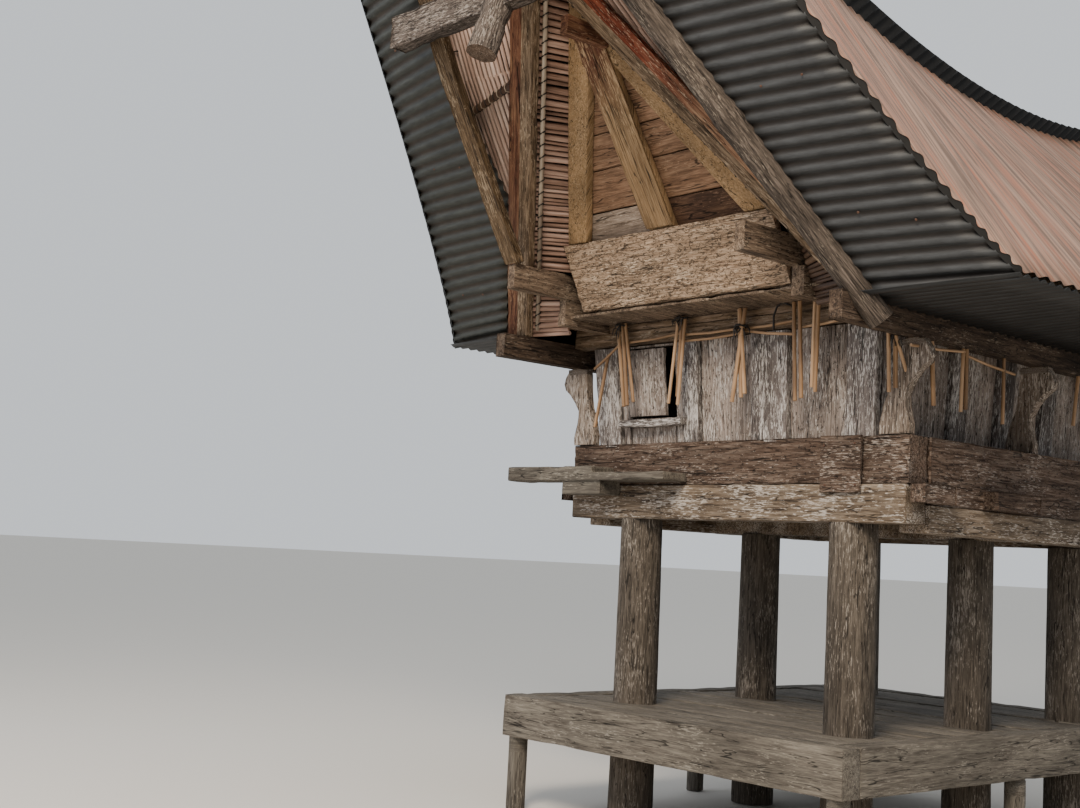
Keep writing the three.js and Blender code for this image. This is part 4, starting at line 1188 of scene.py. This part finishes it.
class BARN_OT_roof(bpy.types.Operator):
    """Roof slopes of corrugated sheets that run from the ridge to the eaves and barges"""
    bl_idname = "barn.roof"
    bl_label = "Roof sheets"

    def execute(self, context):
        length = RIDGE["rear"] - RIDGE["front"]
        for name, side in SIDES.items():
            def point(u, v):
                edge, top = roof_line(u)
                fall = (top - edge) / max(edge.x, 0.05)
                lap = RIDGE_LAP if side < 0 else -min(RIDGE_GAP, edge.x / 3)
                place = edge.lerp(top + fall * min(lap, edge.x), v) + sheet_normal(u) * sheet_height(u)
                return Vector((side * place.x, place.y, place.z))

            def run(u, v):
                edge, top = roof_line(u)
                return Vector((u * length, v * (top - edge).length, math.cos(2 * math.pi * ROOF_WAVES * u)))

            bm = sheet_grid(ROOF_WAVES * 8, 10, point, run)
            face_towards(bm, Z)
            # The sheets' backs take the near-black underside, which is painted shade
            skins = ("rusted_galvanised_sheet", "painted_shade_underside_sheet")
            piece = finish(bm, f"sheets_roof_{name}", skins, "rusty_sheet", f"roof_slope_{name}", smooth=80,
                           recalculate=False)
            thicken(piece, back=1)
        self.flashing()
        self.pole()
        return {"FINISHED"}

    @staticmethod
    def flashing():
        """Folded strips along the barges, between the roof sheets and the soffits, near black as painted
        shade.
        """
        for name, side in SIDES.items():
            for end, out in ENDS.items():
                def point(u, v):
                    share = CORNERS[0] * u if end == "front" else CORNERS[1] + (1 - CORNERS[1]) * u
                    edge, top = roof_line(share)
                    height = -FLASHING["depth"] if v > 0.5 else sheet_height(share) - FLASHING["gap"]
                    inward = (top - edge).normalized() * min(FLASHING["inset"], (top - edge).length / 4)
                    place = edge + inward + sheet_normal(share) * height
                    return Vector((side * place.x, place.y, place.z))

                bm = sheet_grid(400, 1, point, lambda u, v: Vector((u * 6, v * 0.02, 0)))
                face_towards(bm, Y * out)
                finish(bm, f"sheets_flashing_{end}_{name}", ["painted_shade_underside_sheet"], "grey_sheet", smooth=80,
                       recalculate=False)

    @staticmethod
    def pole():
        """The ridge pole, hung just under the valleys of the sheets."""
        bm = copy_of("ridge_pole")
        bmesh.ops.scale(bm, vec=(POLE["width"], 1, 1), verts=bm.verts)
        bmesh.ops.translate(bm, vec=(0, 0, -POLE["drop"]), verts=bm.verts)
        slice_up(bm, (0.30, 0.25, 0.30))
        weather(bm, along(Y), 0.002, 0.004)
        finish(bm, "timber_ridge_pole", ["rough_tie_wood"], "rafter_log", "ridge_pole", recalculate=False)


# Level soffits: how far out they start, their width, the height and rise of the sheet, and
# how far its ends reach past the eave's corners at the eave and, besides that, at the plate
LEVEL = {"start": 1.3403, "width": 0.8097, "height": 2.934, "rise": 0.040,
         "front": (0.030, 0.200), "rear": (0.020, 0.130)}
# Eave battens, dark boards put in the gap as painted shade to hide the sky seen through it: their two sides'
# distances from the middle, and their foot and top
SHADE_BATTEN = (2.082, 2.108, 2.979, 3.024)


class BARN_OT_soffits(bpy.types.Operator):
    """Corrugated sheets under the overhangs, with their waves level"""
    bl_idname = "barn.soffits"
    bl_label = "Soffit sheets"

    def execute(self, context):
        zinc = {"right": "slate_grey_galvanised_sheet", "left": "green_grey_galvanised_sheet"}
        for side in SIDES:
            node = f"soffit_front_{side}"
            self.sheet(self.leaning("front", side), f"sheets_{node}", zinc[side], node)
            node = f"soffit_{side}"
            self.sheet(self.level(side), f"sheets_{node}", zinc["right"], node)
        bm = self.leaning("rear", "right")
        join(bm, self.leaning("rear", "left"))
        self.sheet(bm, "sheets_soffit_rear", zinc["right"], "soffit_rear")
        self.shade_battens()
        return {"FINISHED"}

    @staticmethod
    def shade_battens():
        """A dark batten along each eave, in the gap between the soffit and the roof sheets, put there as
        painted shade to hide the sky seen through the gap.
        """
        bm = new_mesh()
        inner, outer, low, high = SHADE_BATTEN
        for sign in SIDES.values():
            x = sorted((sign * inner, sign * outer))
            board(bm, (x[0], EAVE["front"] + 0.05, low), (x[1], EAVE["rear"] - 0.05, high), Y,
                  seed=90 + sign, wear=0.002, chips=0.004, step=0.30)
        finish(bm, "shade_boards_eave_battens", ["brown_rafter_board"], "rafter_log")

    @staticmethod
    def leaning(end, side):
        """Soffit that follows a gable's lean, its waves level."""
        sheets = bpy.context.scene.barn_sheets
        waves = int((SOFFIT_TOP[end] - SOFFIT_LOW) * math.hypot(1, LEAN) / sheets.pitch)

        def point(u, v):
            height = math.cos(2 * math.pi * waves * u) * sheets.wave / 2
            return soffit_at(end, side, u, v, height - sheets.wave / 2)

        def run(u, v):
            z = SOFFIT_LOW + (SOFFIT_TOP[end] - SOFFIT_LOW) * u
            return Vector((z, v * 1.3 + SIDES[side], math.cos(2 * math.pi * waves * u) * -1))

        bm = sheet_grid(waves * 8, 6, point, run)
        face_towards(bm, Y * ENDS[end])
        return bm

    @staticmethod
    def level(side):
        """Flat soffit between a plate and the eave, its waves across the barn. Its ends
        follow the foot of the leaning soffits."""
        sheets = bpy.context.scene.barn_sheets
        wave = sheets.wave / 2
        waves = int((EAVE["rear"] - EAVE["front"]) / sheets.pitch)

        def point(u, v):
            front = EAVE["front"] - LEVEL["front"][0] - LEVEL["front"][1] * (1 - v)
            rear = EAVE["rear"] + LEVEL["rear"][0] + LEVEL["rear"][1] * (1 - v)
            x = SIDES[side] * (LEVEL["start"] + LEVEL["width"] * v)
            z = LEVEL["height"] + LEVEL["rise"] * v + math.cos(2 * math.pi * waves * u) * wave
            return Vector((x, front + (rear - front) * u, z))

        def run(u, v):
            return Vector((u * 4, v * 0.8, math.cos(2 * math.pi * waves * u) * -1))

        bm = sheet_grid(waves * 8, 4, point, run)
        face_towards(bm, -Z)
        return bm

    @staticmethod
    def sheet(bm, name, skin, node):
        thicken(finish(bm, name, [skin], "grey_sheet", node, smooth=80, recalculate=False))


# Places of the rods' materials in the list that each lining has
LATH, FIBRE, FAN, BROWN = 1, 2, 3, 4
LINING_SKINS = (
    "aged_lining_rod", "pale_wrapped_lath", "black_palm_fibre", "pinkish_fan_rod", "woven_brown_band")
# Foot of the level rods, of the gable's part above the beams, of the pale lath and of the
# rear fan, the height up to which the right side's rods are brown, and how far from the
# middle the rods end beside the beams
LINING = {"foot": 2.962, "gable": 3.32, "lath": 3.00, "rear_fan": 2.975, "brown": 3.30,
          "left": 0.998, "right": 0.945}
# Front fans: where the first rod stands, how high the rods past the middle reach, and how far
# behind the outer rafter they lie
FAN_RODS = {"first": -0.220, "ceiling": 6.30, "behind": 0.240}
# Woven band over the front left fan and the thread above it: the ends' distances from the
# middle and heights, and how far the band stands in front of the fan
BAND = {"ends": ((0.990, 4.150), (0.550, 4.235)), "thread": ((0.910, 4.460), (0.820, 4.450)), "proud": 0.026}


class BARN_OT_linings(bpy.types.Operator):
    """Gable linings of rods: a fan beside each inner rafter, and level rods behind it"""
    bl_idname = "barn.linings"
    bl_label = "Rod linings"

    def execute(self, context):
        settings = context.scene.barn_bamboo
        for end in ENDS:
            upper = new_mesh()
            for side in SIDES:
                bm = new_mesh()
                self.level_rods(bm, end, side, settings)
                if end == "front":
                    self.front_fan(bm, upper, side, settings)
                else:
                    self.rear_fan(bm, upper, side, settings)
                self.lath(bm, end, side)
                if (end, side) == ("front", "left"):
                    self.band(bm)
                finish(bm, f"rods_{end}_{side}", LINING_SKINS, "bamboo", f"lining_{end}_{side}", smooth=60)
            finish(upper, f"rods_upper_{end}", LINING_SKINS, "bamboo", f"upper_lining_{end}", smooth=60)
        return {"FINISHED"}

    @staticmethod
    def level_rods(bm, end, side, settings):
        """Rods from the inner rafter back to the gable board or the beams."""
        sign, out = SIDES[side], ENDS[end]
        chance = random.Random(f"{end}{side}level")
        z = LINING["foot"]
        while z < RAFTER["top"] - 0.02:
            behind = forward_at(RAFTER, z) - RAFTER_DEPTH - 0.008
            beside = max(edge_at(RAFTER, z) - RAFTER["width"] + 0.030, 0.030)
            if z > LINING["gable"]:
                back = (max(edge_at(GABLE, z) + 0.004, 0.016), forward_at(GABLE, z) - 0.030)
            else:
                back = (LINING[side], 1.900 + 0.5 * (z - 3.46) - 0.02)
            radius = settings.rod / 2 * chance.uniform(0.60, 1.45)
            z += radius / math.hypot(1, LEAN)
            tilt = chance.uniform(-0.002, 0.002)
            start = Vector((sign * beside, out * behind, z + tilt))
            stop = Vector((sign * back[0], out * back[1], z - tilt))
            first = len(bm.faces)
            if (stop - start).length > 0.05:
                straight_rod(bm, start, stop, radius, chance)
            if side == "right" and z < LINING["brown"]:
                paint(bm, first, BROWN)
            z += (radius + chance.choice((0.000, 0.001, 0.002, 0.005))) / math.hypot(1, LEAN)

    @staticmethod
    def front_fan(bm, upper, side, settings):
        """Straight rods parallel to the outer rafter, from behind the inner rafter's edge,
        or the middle of the gable, to the outer rafter's next bend. They run on behind
        the outer rafter and the soffit."""
        axis = OUTER_AXES["front", side]
        chance = random.Random(f"{side}fan")
        for low, high in zip(axis, axis[1:]):
            top = high[2] - (0.14 if high is axis[-1] else -0.02)
            bottom = max(low[2], 3.0)
            heights = [bottom + (top - bottom) * i / 80 for i in range(81)]
            shift = FAN_RODS["first"]
            while shift < low[0]:
                ceiling = top if shift > 0 else FAN_RODS["ceiling"] + 2 * shift
                inside = [z for z in heights if z < ceiling
                          and axis_at(axis, z)[0] - shift > max(edge_at(RAFTER, z) - 0.03, 0.012)]
                if inside and inside[-1] - inside[0] > 0.05:
                    ends = [fan_spot(side, axis_at(axis, z)[0] - shift, z) for z in (inside[0], inside[-1])]
                    mesh = bm if inside[0] + inside[-1] < 2 * RAFTER["top"] else upper
                    before = len(mesh.faces)
                    straight_rod(mesh, *ends, settings.rod / 2 * chance.uniform(0.80, 0.98), chance)
                    paint(mesh, before, FAN)
                shift += settings.spacing * chance.uniform(0.96, 1.04)

    @staticmethod
    def rear_fan(bm, upper, side, settings):
        """Level rods from the outer rafter to the inner one, or to the gable's middle."""
        sign, axis = SIDES[side], OUTER_AXES["rear", side]
        chance = random.Random(f"{side}rear")
        z = LINING["rear_fan"]
        while z < axis[-1][2] - 0.14:
            x, forward = axis_at(axis, z)
            behind = forward_at(RAFTER, min(z, RAFTER["top"])) - RAFTER_DEPTH - 0.008
            if z > RAFTER["top"]:
                share = (z - RAFTER["top"]) / (axis[-1][2] - RAFTER["top"])
                behind += (axis[-1][1] - 0.045 - behind) * share
            start = Vector((sign * max(x - 0.02, 0.012), forward - 0.040, z))
            stop = Vector((sign * max(edge_at(RAFTER, z) - 0.03, 0.012), behind, z))
            mesh = bm if z < RAFTER["top"] else upper
            before = len(mesh.faces)
            if (stop - start).length > 0.03:
                straight_rod(mesh, start, stop, settings.rod / 2 * chance.uniform(0.9, 1.1), chance)
            paint(mesh, before, FAN)
            z += settings.spacing * chance.uniform(0.80, 0.88)

    @staticmethod
    def lath(bm, end, side):
        """Thin pale lath along the inner edge of the inner rafter, wound with fibre."""
        sign, out = SIDES[side], ENDS[end]
        points = []
        for i in range(16):
            z = LINING["lath"] + (RAFTER["top"] - 0.06 - LINING["lath"]) * i / 15
            behind = forward_at(RAFTER, z) - RAFTER_DEPTH - 0.022
            beside = max(edge_at(RAFTER, z) - RAFTER["width"] - 0.010, 0.02)
            points.append(Vector((sign * beside, out * behind, z)))
        before = len(bm.faces)
        rod(bm, points, [0.014] * len(points), sides=8, seed=2)
        paint(bm, before, LATH)
        before = len(bm.faces)
        for a, b in zip(points, points[1:]):
            for share in (0.25, 0.75):
                winding(bm, a.lerp(b, share), b - a, 0.0155, 0.0155, 0.0050, 0.9)
        paint(bm, before, FIBRE)

    @staticmethod
    def band(bm):
        """Woven band of dark fibre that holds the fan rods, with a few pale strands, and
        a single thread above it."""
        lift = Vector((0, -BAND["proud"], 0))
        a, b = (fan_spot("left", *place) + lift for place in BAND["ends"])
        count = 14
        before = len(bm.faces)
        rod(bm, [a.lerp(b, i / count) for i in range(count + 1)],
            [0.009 + 0.001 * (i % 2) for i in range(count + 1)], sides=10, seed=6, flat=3.4)
        paint(bm, before, BROWN)
        before = len(bm.faces)
        c, d = (fan_spot("left", *place) + lift * 0.6 for place in BAND["thread"])
        rod(bm, [c, c.lerp(d, 0.5), d], [0.004] * 3, sides=6)
        paint(bm, before, FIBRE)
        for i in range(11):
            before = len(bm.faces)
            winding(bm, a.lerp(b, 0.05 + 0.09 * i), b - a, 0.012, 0.033, 0.0034, 1.6)
            paint(bm, before, (LATH, FIBRE)[i % 2])


def straight_rod(bm, start, stop, radius, chance):
    rod(bm, [start, start.lerp(stop, 0.5), stop], [radius] * 3, sides=7, seed=chance.random() * 40)


def fan_spot(side, x, z):
    """Point on the sheet of the front's fan rods, which lies behind the inner rafter and
    parallel to the outer one."""
    outer_x, outer_forward = axis_at(OUTER_AXES["front", side], z)
    forward = outer_forward - FAN_RODS["behind"] - 0.12 * max(outer_x - x, 0)
    return Vector((SIDES[side] * x, -forward, z))


def winding(bm, place, way, wide, deep, thick, slant):
    """One turn of fibre round a lath, slanting along it."""
    turn = path_frames([place, place + way])[0]
    ring = []
    for i in range(9):
        angle = 2 * math.pi * i / 8
        out = wide * math.cos(angle)
        ring.append(turn @ Vector((out, deep * math.sin(angle), slant * wide * math.cos(angle))))
    rod(bm, ring, [thick] * len(ring), sides=5)


# Bundles of sticks: foot and head of each, with x and z read across the front wall
BUNDLES = [
    ((-0.975, -1.400, 2.400), (-0.955, -1.330, 2.870)),
    ((-0.690, -1.430, 2.515), (-0.780, -1.425, 3.040)),
    ((-0.655, -1.435, 2.520), (-0.750, -1.415, 3.040)),
    ((-0.640, -1.400, 2.545), (-0.720, -1.420, 3.040)),
    ((-0.300, -1.440, 2.515), (-0.262, -1.425, 3.042)),
    ((-0.270, -1.400, 2.560), (-0.238, -1.420, 3.042)),
    ((-0.235, -1.430, 2.505), (-0.215, -1.415, 3.042)),
    ((0.200, -1.440, 2.500), (0.262, -1.425, 3.042)),
    ((0.232, -1.400, 2.530), (0.215, -1.420, 3.042)),
    ((0.285, -1.430, 2.545), (0.228, -1.430, 3.042)),
    ((0.655, -1.440, 2.485), (0.610, -1.420, 3.042)),
    ((0.690, -1.430, 2.500), (0.655, -1.425, 3.042)),
    ((0.735, -1.400, 2.560), (0.752, -1.415, 3.042)),
    ((0.775, -1.420, 2.530), (0.790, -1.430, 3.042)),
    ((1.200, -1.345, 2.515), (1.215, -1.385, 2.840)),
    ((1.215, -1.310, 2.540), (1.235, -1.350, 2.840)),
    ((1.262, -1.266, 2.600), (1.240, -1.372, 2.838)),
    ((1.330, -1.130, 2.460), (1.330, -1.160, 2.800)),
    ((1.330, -0.875, 2.455), (1.330, -0.860, 2.800)),
    ((1.340, -0.845, 2.470), (1.335, -0.835, 2.800)),
    ((1.330, -0.455, 2.430), (1.330, -0.450, 2.800)),
    ((1.330, 0.320, 2.500), (1.330, 0.375, 2.800)),
]
THIN_RODS = [
    ((-1.010, -1.395, 2.775), (-0.790, -1.395, 2.915)),
    ((-0.700, -1.395, 2.922), (-0.262, -1.395, 2.946)),
    ((-0.255, -1.395, 2.935), (0.185, -1.395, 2.932)),
    ((-0.240, -1.385, 2.897), (0.185, -1.385, 2.905)),
    ((0.215, -1.395, 2.920), (0.590, -1.395, 2.868)),
    ((0.215, -1.385, 2.932), (0.590, -1.385, 2.945)),
    ((0.640, -1.395, 2.902), (0.960, -1.385, 2.928)),
    ((1.332, -1.350, 2.755), (1.332, -0.850, 2.785)),
    ((1.332, -0.850, 2.770), (1.332, -0.340, 2.724)),
]
TIES = [(-0.755, -1.420, 3.030), (-0.240, -1.420, 3.030), (0.235, -1.425, 2.940), (1.225, -1.350, 2.825)]
BENT_CANE = [(0.455, 2.900), (0.452, 2.980), (0.475, 3.035), (0.520, 3.052), (0.575, 3.030), (0.600, 3.000)]


class BARN_OT_bamboo(bpy.types.Operator):
    """Bundles of bamboo sticks under the gable and the eave, thin rods between them,
    fibre ties and a bent cane"""
    bl_idname = "barn.bamboo"
    bl_label = "Bamboo sticks"

    def execute(self, context):
        radius = context.scene.barn_bamboo.stick / 2
        chance = random.Random(12)
        bm = new_mesh()
        for i, (foot, head) in enumerate(BUNDLES):
            foot, head = Vector(foot), Vector(head)
            knots = [foot.lerp(head, share) for share in (0, 0.30, 0.32, 0.34, 0.70, 0.72, 0.74, 1)]
            width = radius * chance.uniform(0.75, 1.0)
            rod(bm, knots, [width * k for k in (1, 1, 1.10, 1, 1, 1.10, 1, 1)], sides=12, seed=i)
        for i, (start, stop) in enumerate(THIN_RODS):
            start, stop = Vector(start), Vector(stop)
            sag = Vector((0, 0, -0.006))
            rod(bm, [start, start.lerp(stop, 0.5) + sag, stop], [radius * 0.62] * 3, sides=8, seed=i + 30)
        finish(bm, "bamboo_sticks", ["hanging_bamboo_stick"], "bamboo", smooth=50)
        self.ties(chance)
        return {"FINISHED"}

    @staticmethod
    def ties(chance):
        """Knots of black palm fibre, and the bent cane."""
        bm = new_mesh()
        for place in TIES:
            place = Vector(place)
            for i in range(9):
                start = place + Vector((chance.uniform(-0.03, 0.03), chance.uniform(-0.02, 0.02), 0))
                bend = start + Vector((chance.uniform(-0.04, 0.04), chance.uniform(-0.03, 0.0), -0.02))
                stop = bend + Vector((chance.uniform(-0.03, 0.03), 0, chance.uniform(-0.07, -0.02)))
                rod(bm, [start, bend, stop], [0.006, 0.005, 0.002], sides=6, seed=i)
            ring = []
            for i in range(11):
                a = 2 * math.pi * i / 10
                lift = 0.004 * math.sin(3 * a)
                ring.append(place + Vector((0.040 * math.cos(a), 0.030 * math.sin(a), lift)))
            rod(bm, ring, [0.007] * len(ring), sides=6)
        rod(bm, [(x, -1.400, z) for x, z in BENT_CANE], [0.006] * len(BENT_CANE), sides=7)
        finish(bm, "fibre_ties", ["black_palm_fibre"], "bamboo", smooth=60)


class BARN_OT_shelf(bpy.types.Operator):
    """Shelf of a thick plank and a thinner board on a bracket at the front beam"""
    bl_idname = "barn.shelf"
    bl_label = "Shelf"

    def execute(self, context):
        timber("shelf", "grey_platform_hardwood", "platform_wood", along(X),
               step=(0.04, 0.05, 0.03), edge=0.010, wear=0.008, chips=0.025)
        return {"FINISHED"}


# Nails of the board on the front sill
PATCH_NAILS = ((0.77, -1.321, 2.245), (0.97, -1.321, 2.255), (0.78, -1.321, 2.03), (0.98, -1.321, 2.03))


class BARN_OT_nails(bpy.types.Operator):
    """Nail heads on the mended end of the front sill and along the soffits"""
    bl_idname = "barn.nails"
    bl_label = "Nails"

    def execute(self, context):
        bm = new_mesh()
        chance = random.Random(21)
        for place in PATCH_NAILS:
            self.nail(bm, Vector(place), -Y)
        for end in ENDS:
            for side in SIDES:
                for i in range(8):
                    for share in (0.30, 0.62):
                        u = 0.06 + 0.11 * i + chance.uniform(-0.01, 0.01)
                        spot = soffit_at(end, side, u, share, 0.001)
                        self.nail(bm, spot, soffit_at(end, side, u, share, 0.05) - spot)
        finish(bm, "nails", ["rusted_nail_iron"], "rusty_sheet")
        return {"FINISHED"}

    @staticmethod
    def nail(bm, place, out):
        turn = out.to_track_quat("Z", "Y").to_matrix().to_4x4()
        matrix = Matrix.Translation(place) @ turn
        bmesh.ops.create_cone(bm, cap_ends=True, segments=10, radius1=0.007, radius2=0.005, depth=0.004,
                              matrix=matrix)


# Camera as the photograph's straight edges give it: how far it stands round from the front,
# its upward pitch and its roll in degrees, and its place
CAMERA = {"angles": (49.015, 6.118, 2.967), "place": (5.602, -7.586, 1.562)}


class BARN_OT_stage(bpy.types.Operator):
    """Plain pale floor and sky, soft lights, and the camera at the photograph's angle"""
    bl_idname = "barn.stage"
    bl_label = "Stage"

    def execute(self, context):
        stage = context.scene.barn_stage
        self.floor()
        self.sky(context)
        self.light("key", (4.9, -9.4, 9.5), (0.4, -0.4, 2.8), 4.0, stage.key_power, "fff0dc")
        self.light("fill", (-5.5, -8.5, 4.5), (0, -1.0, 3.4), 6.0, 260, "e9f0ff")
        self.camera(stage)
        return {"FINISHED"}

    @staticmethod
    def floor():
        bm = bmesh.new()
        bmesh.ops.create_grid(bm, x_segments=1, y_segments=1, size=400)
        mesh = bpy.data.meshes.new("floor")
        bm.to_mesh(mesh)
        bm.free()
        mesh.materials.append(material("matt_studio_floor"))
        floor = bpy.data.objects.new("floor", mesh)
        bpy.context.scene.collection.objects.link(floor)

    @staticmethod
    def sky(context):
        world = bpy.data.worlds.new("pale_sky")
        world.use_nodes = True
        tree = world.node_tree
        feed(tree, tree.nodes["Background"], {"Color": (*linear("e4e9ee"), 1), "Strength": 1.0})
        context.scene.world = world

    @staticmethod
    def light(name, place, target, size, power, colour):
        data = bpy.data.lights.new(name, "AREA")
        data.energy, data.size, data.color = power, size, linear(colour)
        light = bpy.data.objects.new(name, data)
        light.location = place
        light.rotation_euler = (Vector(target) - Vector(place)).to_track_quat("-Z", "Y").to_euler()
        bpy.context.scene.collection.objects.link(light)

    @staticmethod
    def camera(stage):
        yaw, pitch, roll = (math.radians(a) for a in CAMERA["angles"])
        forward = Vector((-math.sin(yaw) * math.cos(pitch), math.cos(yaw) * math.cos(pitch), math.sin(pitch)))
        level = Vector((math.cos(yaw), math.sin(yaw), 0))
        above = level.cross(forward)
        right = level * math.cos(roll) + above * math.sin(roll)
        up = above * math.cos(roll) - level * math.sin(roll)
        data = bpy.data.cameras.new("camera")
        data.lens, data.sensor_width, data.sensor_fit = stage.lens, 36, "HORIZONTAL"
        camera = bpy.data.objects.new("camera", data)
        turn = Matrix((right, up, -forward)).transposed().to_4x4()
        x, y, z = CAMERA["place"]
        camera.matrix_world = Matrix.Translation((x, y + BOX_Y, z)) @ turn
        bpy.context.scene.collection.objects.link(camera)
        bpy.context.scene.camera = camera


PIECES = (
    BARN_OT_posts, BARN_OT_platform, BARN_OT_floor_frame, BARN_OT_sills, BARN_OT_walls, BARN_OT_plates,
    BARN_OT_gables, BARN_OT_rafters, BARN_OT_roof, BARN_OT_soffits, BARN_OT_linings, BARN_OT_bamboo,
    BARN_OT_shelf, BARN_OT_nails, BARN_OT_stage,
)
SETTINGS = {
    "barn_timber": TimberSettings,
    "barn_sheets": SheetSettings,
    "barn_bamboo": BambooSettings,
    "barn_stage": StageSettings,
}


class BARN_PT_panel(bpy.types.Panel):
    """The barn's settings and the pieces that it is built from"""
    bl_idname = "BARN_PT_panel"
    bl_label = "Rice barn"
    bl_space_type = "VIEW_3D"
    bl_region_type = "UI"
    bl_category = "Barn"

    def draw(self, context):
        for name, group in SETTINGS.items():
            box = self.layout.box()
            for key in group.__annotations__:
                box.prop(getattr(context.scene, name), key)
        for piece in PIECES:
            self.layout.operator(piece.bl_idname)


def register():
    for name, group in SETTINGS.items():
        bpy.utils.register_class(group)
        setattr(bpy.types.Scene, name, PointerProperty(type=group))
    for piece in (*PIECES, BARN_PT_panel):
        bpy.utils.register_class(piece)


def unregister():
    for piece in (BARN_PT_panel, *reversed(PIECES)):
        bpy.utils.unregister_class(piece)
    for name, group in SETTINGS.items():
        delattr(bpy.types.Scene, name)
        bpy.utils.unregister_class(group)


def main():
    register()
    for piece in PIECES:
        group, action = piece.bl_idname.split(".")
        getattr(getattr(bpy.ops, group), action)()


if __name__ == "__main__":
    main()
